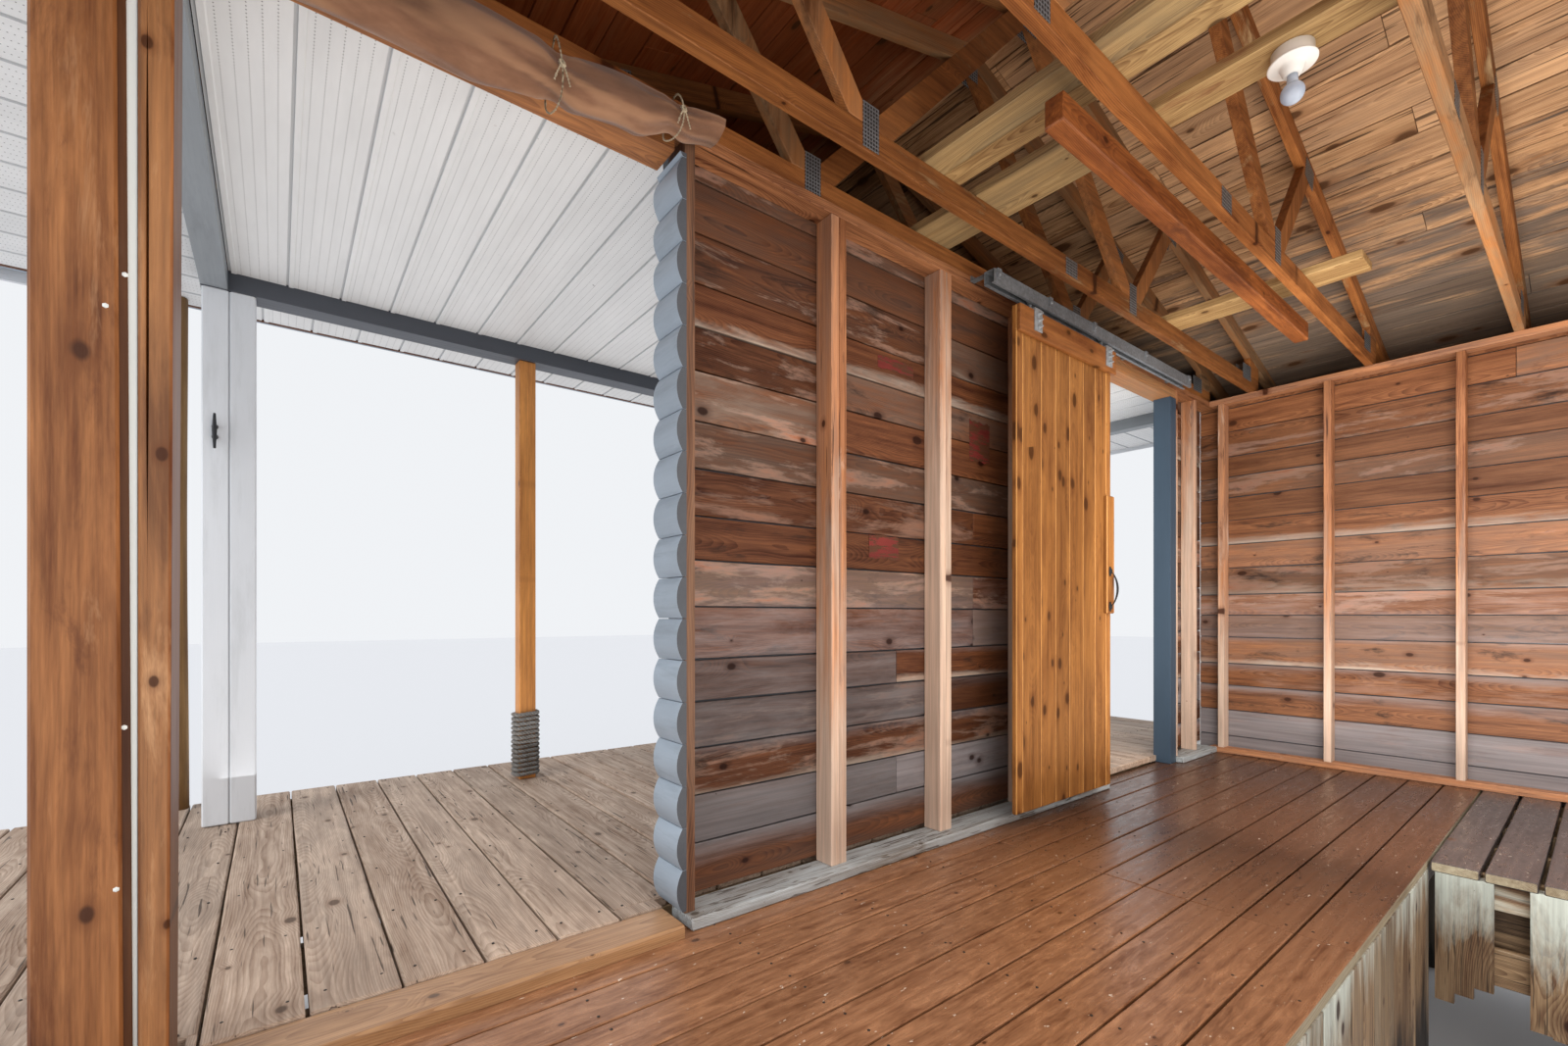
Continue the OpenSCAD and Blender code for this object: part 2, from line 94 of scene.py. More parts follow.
# Material nodes
class Tree:
    """A short way to write the nodes of a material or of the world."""

    def __init__(self, owner, main="Principled BSDF"):
        owner.use_nodes = True
        self.owner, self.nt = owner, owner.node_tree
        self.main = self.nt.nodes[main]

    def node(self, kind, ins=None, **props):
        n = self.nt.nodes.new("ShaderNode" + kind)
        for k, v in props.items():
            setattr(n, k, v)
        for k, v in (ins or {}).items():
            self.put(n.inputs[k], v)
        return n

    def add(self, kind, ins=None, out=0, **props):
        return self.node(kind, ins, **props).outputs[out]

    def put(self, socket, v):
        if isinstance(v, bpy.types.NodeSocket):
            self.nt.links.new(v, socket)
        else:
            socket.default_value = (*v, 1) if socket.type == "RGBA" else v

    def attr(self, name, out=2):
        return self.add("Attribute", out=out, attribute_name=name)

    def scale(self, vec, x, y, z):
        return self.add("Mapping", {"Vector": vec, "Scale": (x, y, z)})

    def noise(self, at, detail=3, rough=0.5, dist=0):
        """Noise on the grain, so many spots a metre along and across it."""
        return self.add("TexNoise", {"Vector": self.scale(self.grain, at[0], at[1], at[1]), "Scale": 1,
            "Detail": detail, "Roughness": rough, "Distortion": dist})

    def ramp(self, fac, *stops):
        n = self.node("ValToRGB", {0: fac})
        els = n.color_ramp.elements
        while len(els) < len(stops):
            els.new(0.5)
        for e, (pos, col) in zip(els, stops):
            e.position = pos
            e.color = (*col, 1)
        return n.outputs[0]

    def band(self, fac, lo, hi, a=0, b=1):
        """The factor's range lo to hi as a to b, and no further."""
        return self.add("MapRange", {"Value": fac, "From Min": lo, "From Max": hi, "To Min": a,
            "To Max": b}, clamp=True)

    def math(self, op, a, b=0):
        return self.add("Math", {0: a, 1: b}, operation=op)

    def plus(self, a, b):
        return self.math("ADD", a, b)

    def times(self, a, b):
        return self.math("MULTIPLY", a, b)

    def length(self, a, b):
        return self.math("SQRT", self.plus(self.times(a, a), self.times(b, b)))

    def away(self, a, b, x, y):
        """Distance of two points of a face, its two directions scaled by x and y."""
        gap = self.add("VectorMath", {0: a, 1: b}, operation="SUBTRACT")
        return self.add("VectorMath", {0: self.scale(gap, x, y, 0)}, 1, operation="LENGTH")

    def mix(self, fac, a, b, how="MIX"):
        return self.add("Mix", {0: fac, 6: a, 7: b}, 2, data_type="RGBA", blend_type=how)

    def shade(self, col, fac):
        """The colour made darker or lighter by a factor around one."""
        return self.mix(1, col, self.add("CombineColor", {0: fac, 1: fac, 2: fac}), "MULTIPLY")

    def done(self, color, rough, height=None, depth=0.001, **sockets):
        for k, v in dict(sockets, Base_Color=color, Roughness=rough).items():
            self.put(self.main.inputs[k.replace("_", " ")], v)
        if height is not None:
            bump = self.add("Bump", {"Height": height, "Distance": depth, "Strength": 0.7})
            self.put(self.main.inputs["Normal"], bump)
        return self.owner


def material(name):
    t = Tree(bpy.data.materials.new(name))
    t.grain, t.own = t.attr("grain", 1), t.attr("tone")
    return t


def shades(code, spread):
    """Dark, middle and light shade of one wood: the dark one redder, the light one yellower."""
    hues = (spread, 1.2 * spread, 1.35 * spread)
    return [[c * (1 + k * hue) for c, hue in zip(lin(code), hues)] for k in (-0.65, 0, 0.5)]


RING_PITCH = 0.0045


def wood(name, code, spread=0.6, rough=(0.55, 0.75), rings=0.25, tone=0.2, knots=0.012, cell=(0.55, 0.2),
        long=1.5, fibre=0.12, mottle=(1.6, 9), fade=None, slits=None, patches=(), ages_and_shade=(), specks=None,
        marks=(), depth=0.0004):
    """Sawn wood: growth rings round a heart of their own, stripes, knots, and a tone for each board.

    mottle is how often the tone changes in a metre, along and across; fade is (colour, amount), which some
    boards lean to; slits is (colour, share, length, width); patches is a list of (colour, share, length,
    presence); ages_and_shade is a list of (colour, low, high, from, to), amounts between two levels of the
    attribute wear, which holds wear and, on some pieces, painted shade; specks is (colour, share);
    marks is a list of knots as (along, across, radius)."""
    t = material(name)
    own = t.own
    dark, mid, light = shades(code, spread)
    wave, fine, stripe = t.noise((3, 14), 2), t.noise((9, 240), 2, 0.6), t.noise((1.6, 60), 3, 0.6)
    cloud = t.noise(mottle, 6, 0.7, 0.5)
    level = t.plus(t.band(cloud, 0.32, 0.68, 0, 0.66 - rings), t.band(stripe, 0.32, 0.68, 0, 0.34))
    spots, near = [], None
    if knots:
        at = t.scale(t.grain, 1 / cell[0], 1 / cell[1], 1)
        cells = t.node("TexVoronoi", {"Vector": at, "Scale": 1}, voronoi_dimensions="2D").outputs
        size = t.band(t.add("SeparateColor", {0: cells["Color"]}), 0.25, 1, knots * 0.05, knots * 1.3)
        spots.append(t.math("DIVIDE", t.away(cells["Position"], at, cell[0] / long, cell[1]), size))
    spots += [t.away(t.grain, (along, across, 0), 1 / (long * r), 1 / r) for along, across, r in marks]
    for spot in spots:
        spot = t.plus(spot, t.band(wave, 0.3, 0.7, -0.3, 0.3))
        near = t.math("MINIMUM", near, spot) if near else spot
    if rings:
        _, y, z = t.node("SeparateXYZ", {0: t.grain}).outputs
        y = t.plus(y, t.band(own, 0, 1, -0.1, 0.1))
        z = t.plus(z, t.band(t.noise((1, 0.3), 1), 0.3, 0.7, 0.11, 0.03))
        phase = t.plus(t.math("DIVIDE", t.length(y, z), RING_PITCH), t.band(wave, 0.3, 0.7, -0.6, 0.6))
        if near:
            phase = t.plus(phase, t.band(near, 1, 4.5, 2.5, 0))
        level = t.plus(level, t.band(t.math("FRACT", phase), 0.3, 0.95, 0, rings))
    col = t.ramp(level, (0.1, light), (0.42, mid), (0.85, dark))
    col = t.shade(col, t.band(fine, 0.25, 0.75, 1 + fibre, 1 - fibre))
    if fade:
        lean = t.band(t.math("FRACT", t.times(own, 5.7)), 0.35, 1, 0, fade[1])
        col = t.mix(t.times(lean, t.band(cloud, 0.35, 0.6, 0.15, 1)), col, lin(fade[0]))
    for colour, share, length, presence in patches:
        edge = 0.7 - 0.32 * share
        here = t.band(t.math("FRACT", t.times(own, 7.31 + 3 * length)), 1 - presence, 1.03 - presence)
        m = t.times(t.band(t.noise((1 / length, 11), 6, 0.7, 0.35), edge, edge + 0.13), here)
        col = t.mix(t.times(m, 0.85), col, lin(colour))
    if slits:
        colour, share, length, width = slits
        edge = 0.78 - 0.25 * share
        s = t.noise((1 / length, 0.4 / width), 2, 0.5, 0.3)
        col = t.mix(t.band(s, edge, edge + 0.04, 0, 0.85), col, lin(colour))
    if ages_and_shade:
        wear = t.plus(t.attr("wear"), t.band(cloud, 0.3, 0.7, -0.22, 0.22))
        streaks = t.band(stripe, 0.32, 0.68, 1.18, 0.78)
    for colour, *levels in ages_and_shade:
        col = t.mix(t.band(wear, *levels), col, t.shade(lin(colour), streaks))
    if near:
        col = t.mix(t.band(near, 1, 2.2, 0.4, 0), col, dark)
        col = t.mix(t.band(near, 0.7, 1.05, 0.88, 0), col, [c * 0.42 for c in dark])
    if specks:
        edge = 0.8 - 0.2 * specks[1]
        col = t.mix(t.band(t.noise((45, 70), 3, 0.6), edge, edge + 0.02, 0, 0.8), col, lin(specks[0]))
    col = t.shade(col, t.band(own, 0, 1, 1 - tone, 1 + tone * 0.8))
    return t.done(col, t.band(cloud, 0.3, 0.7, *rough), fine, depth)


def paint(name, code, under, rough=0.5, chips=0.1, vary=0.08, grime=None, depth=0.0005):
    """Painted wood: brush marks along the board, some grime, and bare wood where the paint is worn."""
    t = material(name)
    brush, low, high = t.noise((3, 90), 3, 0.6), [], []
    for c in lin(code):
        low.append(c * (1 - vary))
        high.append(min(1, c * (1 + vary)))
    col = t.ramp(t.noise((2.25, 7.5), 4, 0.6), (0.3, low), (0.7, high))
    if grime:
        col = t.mix(t.band(t.noise((2, 14), 5, 0.7), 0.5, 0.72, 0, 0.5), col, lin(grime))
    edge = 0.82 - 0.25 * chips
    bare = t.band(t.noise((6, 38), 5, 0.7), edge, edge + 0.02)
    col = t.shade(t.mix(bare, col, lin(under)), t.band(t.own, 0, 1, 0.94, 1.05))
    dull = t.band(brush, 0.3, 0.7, rough - 0.06, rough + 0.12)
    return t.done(col, dull, t.math("SUBTRACT", brush, bare), depth)


def zinc(name, code, rough, metal, slots=False):
    """Hot dipped steel: crystals in the zinc, dull patches, and punched slots on the nail plates, painted
    near black as painted shade.
    """
    t = material(name)
    height = dull = t.noise((9, 9), 4, 0.7)
    crystal = t.add("SeparateColor", {0: t.add("TexVoronoi", {"Vector": t.grain, "Scale": 90}, 1)})
    col = t.ramp(dull, (0.3, [c * 0.7 for c in lin(code)]), (0.7, lin(code)))
    col = t.shade(col, t.band(crystal, 0, 1, 0.8, 1.15))
    if slots:
        x, y, _ = t.node("SeparateXYZ", {0: t.grain}).outputs
        hole = t.times(*(t.band(t.math("PINGPONG", c, 0.0065), 0.0036, 0.0044, 1, 0) for c in (x, y)))
        col = t.mix(hole, col, (0.02, 0.02, 0.02))
        height = t.math("SUBTRACT", dull, t.times(hole, 3))
    return t.done(col, t.band(dull, 0.3, 0.7, rough, rough + 0.2), height, 0.0006, Metallic=metal)


def soffit(name, code):
    """White soffit panel with rows of small holes painted dark grey as painted shade; the grain runs along
    the panel, from its left edge.
    """
    t = material(name)
    x, y, _ = t.node("SeparateXYZ", {0: t.grain}).outputs
    near = t.length(t.math("PINGPONG", x, 0.0065), t.math("PINGPONG", t.math("SUBTRACT", y, 0.0125), 0.016))
    rows = t.times(t.band(y, 0.029, 0.03), t.band(y, 0.188, 0.189, 1, 0))
    hole = t.times(t.band(near, 0.0013, 0.0021, 1, 0), rows)
    col = t.ramp(t.noise((1.2, 6), 5, 0.7), (0.35, [c * 0.9 for c in lin(code)]), (0.65, lin(code)))
    col = t.mix(t.band(t.noise((24, 24), 3, 0.6), 0.73, 0.76, 0, 0.6), col, lin("6a6660"))
    col = t.shade(t.mix(hole, col, lin("5c5c5c")), t.band(t.own, 0, 1, 0.95, 1))
    return t.done(col, 0.45, hole, 0.0008)


# Meshes
class Pieces:
    """Collects closed solids into one mesh; each has a grain, a tone and a wear value of its own: wear, and
    on a few pieces painted shade and highlight.
    """

    def __init__(self, name, seed):
        self.name, self.rnd = "looks_" + name, random.Random(seed)
        self.co, self.faces, self.kind, self.smooth = [], [], [], []
        self.grain, self.tone, self.wear = [], [], []

    def vary(self, a, b):
        return self.rnd.uniform(a, b)

    def put(self, co, faces, ax, side=None, tone=None, wear=None, kinds=None, smooth=False, centre=None,
            slide=True):
        """Adds one solid. Its grain is measured along ax, across side and through, from its middle."""
        off = self.vary(0, 90) if slide else 0
        tone = self.rnd.random() if tone is None else tone
        co, ax = [Vector(p) for p in co], Vector(ax).normalized()
        if side is None:
            side = ax.cross(Z if abs(ax.z) < 0.9 else X)
        side = (Vector(side) - ax * ax.dot(Vector(side))).normalized()
        up = side.cross(ax)
        if centre is None:
            lo, hi = span(co)
            centre = (lo + hi) / 2
        d = [p - centre for p in co]
        flip = sum(d[f[0]].dot(d[j].cross(d[k])) for f in faces for j, k in zip(f[1:], f[2:])) < 0
        base = len(self.co)
        self.co += co
        self.grain += [(v.dot(ax) + off, v.dot(side), v.dot(up)) for v in d]
        self.tone += [tone] * len(co)
        self.wear += [wear(p) if wear else 0 for p in co]
        self.faces += [[base + k for k in (f[::-1] if flip else f)] for f in faces]
        self.kind += kinds or [0] * len(faces)
        self.smooth += [smooth] * len(faces)
        return self

    def loft(self, rings, ax, cap=0, sides=(), **how):
        """Skins a row of rings with as many points each; cap is the material of the ends and some sides."""
        n, last = len(rings[0]), len(rings[0]) * (len(rings) - 1)
        faces = [(i + k, i + (k + 1) % n, i + n + (k + 1) % n, i + n + k)
            for i in range(0, last, n) for k in range(n)]
        kinds = [cap if i % n in sides else 0 for i in range(len(faces))] + [cap, cap]
        faces += [tuple(range(n))[::-1], tuple(range(last, last + n))]
        return self.put([p for ring in rings for p in ring], faces, ax, kinds=kinds, **how)

    def plank(self, a, b, side, w, t, ease=0.002, wander=0, steps=1, **how):
        """A board from a to b, w wide along side and t thick, its edges eased and a little out of line."""
        a, b = Vector(a), Vector(b)
        length, ax, side = (b - a).length, (b - a).normalized(), Vector(side).normalized()
        up = side.cross(ax)
        ease = min(ease, w / 3, t / 3, length / 4)
        at = [0, ease] + [length * (i + 1) / (steps + 1) for i in range(steps)] + [length - ease, length]
        left, right = ([self.vary(-wander, 0) for _ in at] for _ in "lr")
        rings = []
        for i, s in enumerate(at):
            k = ease if i in (0, len(at) - 1) else 0
            l, r, h = w / 2 + left[i] - k, w / 2 + right[i] - k, t / 2 - k
            pts = [(-l, -h + ease), (-l + ease, -h), (r - ease, -h), (r, -h + ease),
                (r, h - ease), (r - ease, h), (-l + ease, h), (-l, h - ease)]
            rings.append([a + ax * s + side * x + up * y for x, y in pts])
        return self.loft(rings, ax, side=side, **how)

    def box(self, lo, hi, ax=None, **how):
        """A plank that fills the box, along its longest side or the one given."""
        lo, hi = Vector(lo), Vector(hi)
        d, a, b = hi - lo, (lo + hi) / 2, (lo + hi) / 2
        ax = max(range(3), key=lambda i: d[i]) if ax is None else ax
        wide, thin = sorted([i for i in range(3) if i != ax], key=lambda i: -d[i])
        a[ax], b[ax] = lo[ax], hi[ax]
        return self.plank(a, b, (X, Y, Z)[wide], d[wide], d[thin], **how)

    def cad(self, node, ax=None, ease=0.002, **how):
        """Stands a node's own solids in, with their sharp edges eased."""
        for pts, faces in solids(node):
            bm = bmesh.new()
            vs = [bm.verts.new(p) for p in pts]
            for f in faces:
                bm.faces.new([vs[k] for k in f])
            if ease:
                bm.normal_update()
                sharp = [e for e in bm.edges if len(e.link_faces) == 2 and e.calc_face_angle(0) > 0.5]
                bmesh.ops.bevel(bm, geom=sharp, offset=ease, segments=1, affect="EDGES", clamp_overlap=True)
            bm.verts.index_update()
            lo, hi = span(pts)
            along = ax or (X, Y, Z)[max(range(3), key=lambda i: hi[i] - lo[i])]
            self.put([v.co for v in bm.verts], [[v.index for v in f.verts] for f in bm.faces], along, **how)
            bm.free()
        return self

    def finish(self, mats, slot, *nodes, body="building"):
        me = bpy.data.meshes.new(self.name)
        me.from_pydata(self.co, [], self.faces)
        grain = me.attributes.new("grain", "FLOAT_VECTOR", "POINT")
        grain.data.foreach_set("vector", [c for v in self.grain for c in v])
        for name in ("tone", "wear"):
            me.attributes.new(name, "FLOAT", "POINT").data.foreach_set("value", getattr(self, name))
        for m in mats if isinstance(mats, list) else [mats]:
            me.materials.append(m)
        me.polygons.foreach_set("use_smooth", self.smooth)
        me.polygons.foreach_set("material_index", self.kind)
        me.update()
        ob = place(self.name, me)
        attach(ob, body)
        if nodes:
            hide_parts(*nodes)
        return ob


def span(pts):
    """The two corners of the box round some points."""
    return [Vector([pick(p[i] for p in pts) for i in range(3)]) for pick in (min, max)]


def solids(node):
    """The separate solids of a CAD node as (points, faces), from left to right."""
    bm = bmesh.new()
    bm.from_mesh(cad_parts[node].data)
    bmesh.ops.remove_doubles(bm, verts=bm.verts, dist=1e-5)
    bmesh.ops.dissolve_limit(bm, angle_limit=0.02, verts=bm.verts, edges=bm.edges)
    bm.faces.index_update()
    seen, out = set(), []
    for v in bm.verts:
        if v in seen:
            continue
        stack, verts = [v], []
        seen.add(v)
        while stack:
            verts.append(stack.pop())
            found = [e.other_vert(verts[-1]) for e in verts[-1].link_edges]
            stack += [b for b in found if b not in seen]
            seen.update(found)
        index = {x: i for i, x in enumerate(verts)}
        faces = {f.index: [index[x] for x in f.verts] for v in verts for f in v.link_faces}
        out.append(([x.co.copy() for x in verts], [f for _, f in sorted(faces.items())]))
    bm.free()
    return sorted(out, key=lambda s: [round(c, 4) for c in span(s[0])[0]])


def boxes(node):
    return [span(pts) for pts, _ in solids(node)]


def ring_of(centre, u, v, r, n, turn=0):
    around = [turn + 2 * pi * k / n for k in range(n)]
    return [centre + u * (r * cos(a)) + v * (r * sin(a)) for a in around]


def lathe(pc, centre, ax, profile, n):
    """Turns a profile of (height along ax, radius) round the axis."""
    u = ax.cross(X if abs(ax.x) < 0.9 else Y).normalized()
    return pc.loft([ring_of(Vector(centre) + ax * h, u, ax.cross(u), r, n) for h, r in profile], ax,
        smooth=True)


def head(pc, at, out, r=0.004, h=0.0008):
    """A screw or nail head that lies on a face."""
    lathe(pc, Vector(at) - out * 0.002, out, [(0, r), (0.002, r), (0.002 + h, r * 0.8)], 6)


# Palette
M_FLOOR = wood("floor_boards_stain", "916749", 0.8, rough=(0.2, 0.42), rings=0.1, tone=0.14, knots=0.009,
    fibre=0.08, mottle=(9, 38), specks=("d9cdbd", 0.5), patches=(("a5826a", 0.15, 0.12, 0.4),),
    ages_and_shade=(("3e3f43", 0.35, 0.8, 0, 0.9), ("4f3425", -0.7, -0.15, 0.97, 0)), depth=0.0002)
M_CUT = wood("pale_board_ends", "968c76", 0.8, knots=0)
M_SILL = wood("sill_boards_stain", "a27c58", 0.7, rough=(0.25, 0.42), tone=0.1, knots=0.01, depth=0.0003)
M_DECK = wood("porch_deck_weathered", "af9885", 0.8, rough=(0.6, 0.8), tone=0.14, mottle=(2.5, 12),
    slits=("3c2c20", 0.5, 0.25, 0.004), fade=("948a80", 0.5))
M_STUD = wood("old_framing", "9d6843", 1.15, tone=0.22, knots=0.013, mottle=(1.6, 18), fibre=0.18,
    slits=("3c2014", 0.45, 0.4, 0.004), fade=("b39884", 0.45),
    patches=(("cdb9a8", 0.35, 0.5, 0.4), ("5a3322", 0.4, 0.3, 0.7)),
    ages_and_shade=(("c9b5a4", 0.3, 0.8, 0, 0.75), ("5e544b", -0.9, -0.3, 0.6, 0)))
M_PLATE = wood("weathered_plate", "9ba0a2", 0.9, tone=0.08, slits=("4a423b", 0.65, 0.15, 0.005),
    specks=("6a5c50", 0.5), depth=0.001)
M_TRUSS = wood("truss_timber", "8f592d", 1.05, tone=0.28, knots=0.013, mottle=(2.5, 14),
    fade=("a89474", 0.5), patches=(("472812", 0.45, 0.4, 0.7), ("c0a075", 0.4, 0.4, 0.5)))
OLD_BOARDS = dict(tone=0.36, knots=0.015, mottle=(2.2, 16), fibre=0.2, fade=("76665a", 0.75),
    patches=(("a08f83", 0.6, 0.5, 0.45), ("8f4f28", 0.5, 0.5, 0.45), ("1c1412", 0.45, 0.3, 0.5)),
    ages_and_shade=(("ada093", 0.68, 1.1, 0, 0.8), ("727276", -0.85, -0.25, 0.85, 0)))
M_SHEATH = wood("old_wall_boards", "58321a", 1.2, **OLD_BOARDS)
M_WALL = wood("side_wall_boards", "7c4f30", 1, **OLD_BOARDS)
M_ROOF = wood("roof_boards_bare", "b08862", 0.95, tone=0.16, knots=0.024, cell=(0.42, 0.22), long=1.9,
    slits=("2c1c10", 0.66, 0.5, 0.006), fade=("ac937a", 0.4), patches=(("7b4f2c", 0.45, 0.4, 0.45),),
    ages_and_shade=(("625a53", 0.5, 0.72, 0, 0.8), ("8c3c10", -0.5, -0.15, 0.85, 0)))
M_LINING = wood("slip_boards", "80694f", 1.25, tone=0.24, knots=0.013, fibre=0.2, fade=("a3a08e", 0.45),
    slits=("3c2f25", 0.75, 0.3, 0.0035),
    ages_and_shade=(("bcc6bf", 0, 0.28, 0.9, 0), ("171310", 0.62, 0.9, 0, 0.96)))
POST_KNOTS = ((2.455, -2.783, 0.019), (1.419, -2.776, 0.014), (3.068, -2.697, 0.008),
    (2.282, -2.676, 0.009), (1.843, -2.687, 0.008), (1.37, -2.668, 0.009))
# Its darkest age colour, 43240f, is painted shade on the corner post: the band beside the wide timber and
# the narrow timber's sides
M_POST = wood("oiled_pine", "8f5d36", 0.95, rough=(0.4, 0.55), rings=0, tone=0.13, knots=0,
    mottle=(1.3, 11), fibre=0.16, patches=(("bd9068", 0.4, 0.6, 1), ("5a3018", 0.42, 0.35, 1)),
    marks=POST_KNOTS, ages_and_shade=(("a88d69", 0.4, 0.9, 0, 0.15), ("43240f", -0.8, -0.3, 0.85, 0)))
M_CEDAR = wood("orange_cedar", "c0803f", 0.7, rough=(0.4, 0.6), tone=0.1, knots=0.011, cell=(0.5, 0.15))
M_BEAM = wood("hoist_timber", "844b22", 1, tone=0.05, knots=0.011, mottle=(2.5, 14), fibre=0.18,
    patches=(("5c3119", 0.55, 0.3, 1),))
M_DOOR = wood("knotty_cedar", "91602f", 0.85, rough=(0.4, 0.6), rings=0.12, tone=0.16, knots=0.018,
    cell=(0.22, 0.12), long=1.8, fibre=0.08, ages_and_shade=(("874a29", 0.3, 0.6, 0, 0.4),))
# Pale colour of the eased door edges: a painted highlight along the board seams
M_EDGE_HIGHLIGHT = wood("door_edges_painted_highlight", "b98548", 0.4, knots=0, tone=0.1)
M_PILE = wood("pile_timber", "6b6154", 0.8, knots=0.014, slits=("2b261f", 0.6, 0.4, 0.006),
    ages_and_shade=(("1b1a16", 0.5, 0.85, 0, 0.9),))
M_FRAME = wood("sawn_frame", "8a7458", 0.8)
M_LOG = wood("peeled_log", "7c5c34", 0.7, tone=0.05, knots=0.014)
M_PALE = wood("new_plank", "a18357", 0.95, tone=0.22, fade=("a5a284", 0.5),
    patches=(("7a4a30", 0.4, 0.35, 0.5),))
M_SIDING = paint("siding_blue_grey", "95a3b1", "7a6a5a", 0.45, 0.15, grime="6e7880")
# Slate paint of the siding's end grain; the same dark colour on the backs of the courses is painted shade,
# so the gaps between the inner boards read dark
M_ENDS_AND_BACK_SHADE = paint("siding_end_slate_and_back_shade", "4d5259", "5a4a3c", 0.55, 0.25)
M_JAMB = paint("jamb_blue", "374858", "3a3028", 0.45)
M_WHITE = paint("trim_white", "d2d6db", "9a8c7c", 0.4, 0.06, 0.03, "b9bdc0")
# A brighter copy of the trim white as painted light, lifting the strip out of its recess's shade; its
# heavier chipping is worn paint
M_STRIP_LIT = paint("strip_white_painted_light", "e4eae8", "8a7a68", 0.4, 0.3, 0.04)
M_SLATE = paint("beam_slate", "474b53", "7a6a5a", 0.4, 0.06)
M_GREY = paint("beam_grey", "80868b", "7a6a5a", 0.4, grime="5f6468")
M_ROOFING = paint("mineral_shingles", "4a4d50", "6a6c6e", 0.9, 0.6, 0.3, depth=0.002)
# The second soffit colour, d0d3d5, is painted shade for the steps at the panel seams
M_SOFFIT, M_SEAM_SHADE = soffit("soffit_white", "e3e4e4"), soffit("soffit_seam_shade", "d0d3d5")
M_GALV = zinc("galvanized_steel", "a9afb4", 0.4, 0.35)
M_TRACK = zinc("track_steel", "84898e", 0.45, 0.35)
M_NAILPLATE = zinc("nail_plate_steel", "868b90", 0.45, 0.4, True)
M_SCREW = zinc("screw_heads", "4a4642", 0.45, 0.6)
M_IRON = paint("black_iron", "24262a", "3c2a20", chips=0.2)
M_PORCELAIN = paint("porcelain_glaze", "ecebe7", "d8d6d0", 0.16, 0, 0.02)
M_ROPE = wood("cotton_rope", "b9ad95", 0.5, (0.8, 0.95), 0, 0.1, 0)
M_GREYROPE = wood("weathered_rope", "7d7b78", 0.6, (0.8, 0.95), 0, knots=0)
M_RED = paint("worn_red_paint", "6a2420", "50301f", 0.6, 1.35, 0.3)
# Waxed brown cotton: a fine weave, and a painted highlight of paler colour on the ridges of the folds
t = material("brown_canvas")
weave = t.times(*(t.add("TexWave", {"Vector": t.grain, "Scale": 260}, bands_direction=d) for d in "XY"))
col = t.ramp(t.noise((3, 7.5), 5, 0.65), (0.3, lin("5e4230")), (0.55, lin("835e47")), (0.75, lin("a07b60")))
col = t.mix(t.band(t.attr("wear"), 0.2, 1, 0, 0.55), col, lin("a98263"))
M_CANVAS = t.done(t.shade(col, t.band(weave, 0, 1, 0.9, 1.06)), 0.88, weave, 0.0004, Sheen_Weight=0.2)
# Frosted bulb glass, a little blue
t = material("bulb_glass")
haze = t.noise((30, 30))
col = t.ramp(haze, (0.3, lin("b9c8de")), (0.7, lin("d3deee")))
M_GLASS = t.done(col, 0.12, haze, 0.0001, Transmission_Weight=0.3, IOR=1.45)

# Frame pieces that keep their CAD shape, with the width of their eased edges
for mat, slot, eases in (
        (M_FRAME, "frame_wood", dict(floor_beams=0.004, floor_joists=0.002, porch_bearers=0.004,
            porch_joists=0.002)),
        (M_SILL, "floor_boards", dict(threshold=0)),
        (M_TRUSS, "old_stud", dict(headers=0.002)),
        (M_JAMB, "jamb_paint", dict(door_jambs=0.002)),
        (M_TRUSS, "old_stud", dict(bottom_chords=0.002, truss_webs=0.002)),
        (M_WHITE, "white_paint", dict(corner_boards=0.002, fascias=0.002)),
        (M_TRACK, "galvanized", dict(door_track=0.0008))):
    for node, ease in eases.items():
        Pieces(node, 3).cad(node, ease=ease).finish(mat, slot, node)
for node, seed, rise in (("top_chords_left", 4, SLOPE), ("top_chords_right", 5, -SLOPE)):
    Pieces(node, seed).cad(node, (1, 0, rise)).finish(M_TRUSS, "old_stud", node)
lo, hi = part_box("porch_beams")
OUTER_Y, SIDE_X = hi.y - 0.12, hi.x - 0.093
side_beams = Pieces("side_beams", 6)
for x0, x1 in ((lo.x, -SIDE_X), (SIDE_X, hi.x)):
    side_beams.box((x0, lo.y, lo.z), (x1, OUTER_Y - 0.0005, hi.z), 1)
side_beams.finish(M_GREY, "grey_paint", "porch_beams")
Pieces("outer_beam", 7).box((lo.x, OUTER_Y, lo.z), hi, 0).finish(M_SLATE, "grey_paint", "porch_beams")
Pieces("cedar_posts", 8).cad("cedar_posts", Z, 0.004).finish(M_CEDAR, "cedar", "cedar_posts")

# Corner post: a wide timber with a slanting edge and a dark band beside it, a white strip, a narrow timber;
# the dark band is painted shade for the wide timber's shaded side face, and the narrow timber's sides and
# back are painted darker as shade
lo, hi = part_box("corner_post")
WIDE_X, SLIM_X, SHADE_BAND, INSET, RECESS = lo.x + 0.1216, lo.x + 0.14, 0.0122, 0.006, 0.01
LEAN, TAPER, CRACK_X, CRACK_W, CRACK_Z = 0.011, 0.009, -2.696, 0.0022, (2.1, 3.15)


def upright(x0, x1, y0, y1, z, ease, crack=0):
    """Eased outline of an upright timber at one height, with a notch in its front face."""
    notch = [(CRACK_X - crack, y0), (CRACK_X, y0 + crack * 5), (CRACK_X + crack, y0)]
    pts = [(x0 + ease, y0)] + (notch if x0 < CRACK_X < x1 else [])
    pts += [(x1 - ease, y0), (x1, y0 + ease), (x1, y1 - ease), (x1 - ease, y1), (x0 + ease, y1),
        (x0, y1 - ease), (x0, y0 + ease)]
    return [Vector((x, y, z)) for x, y in pts]


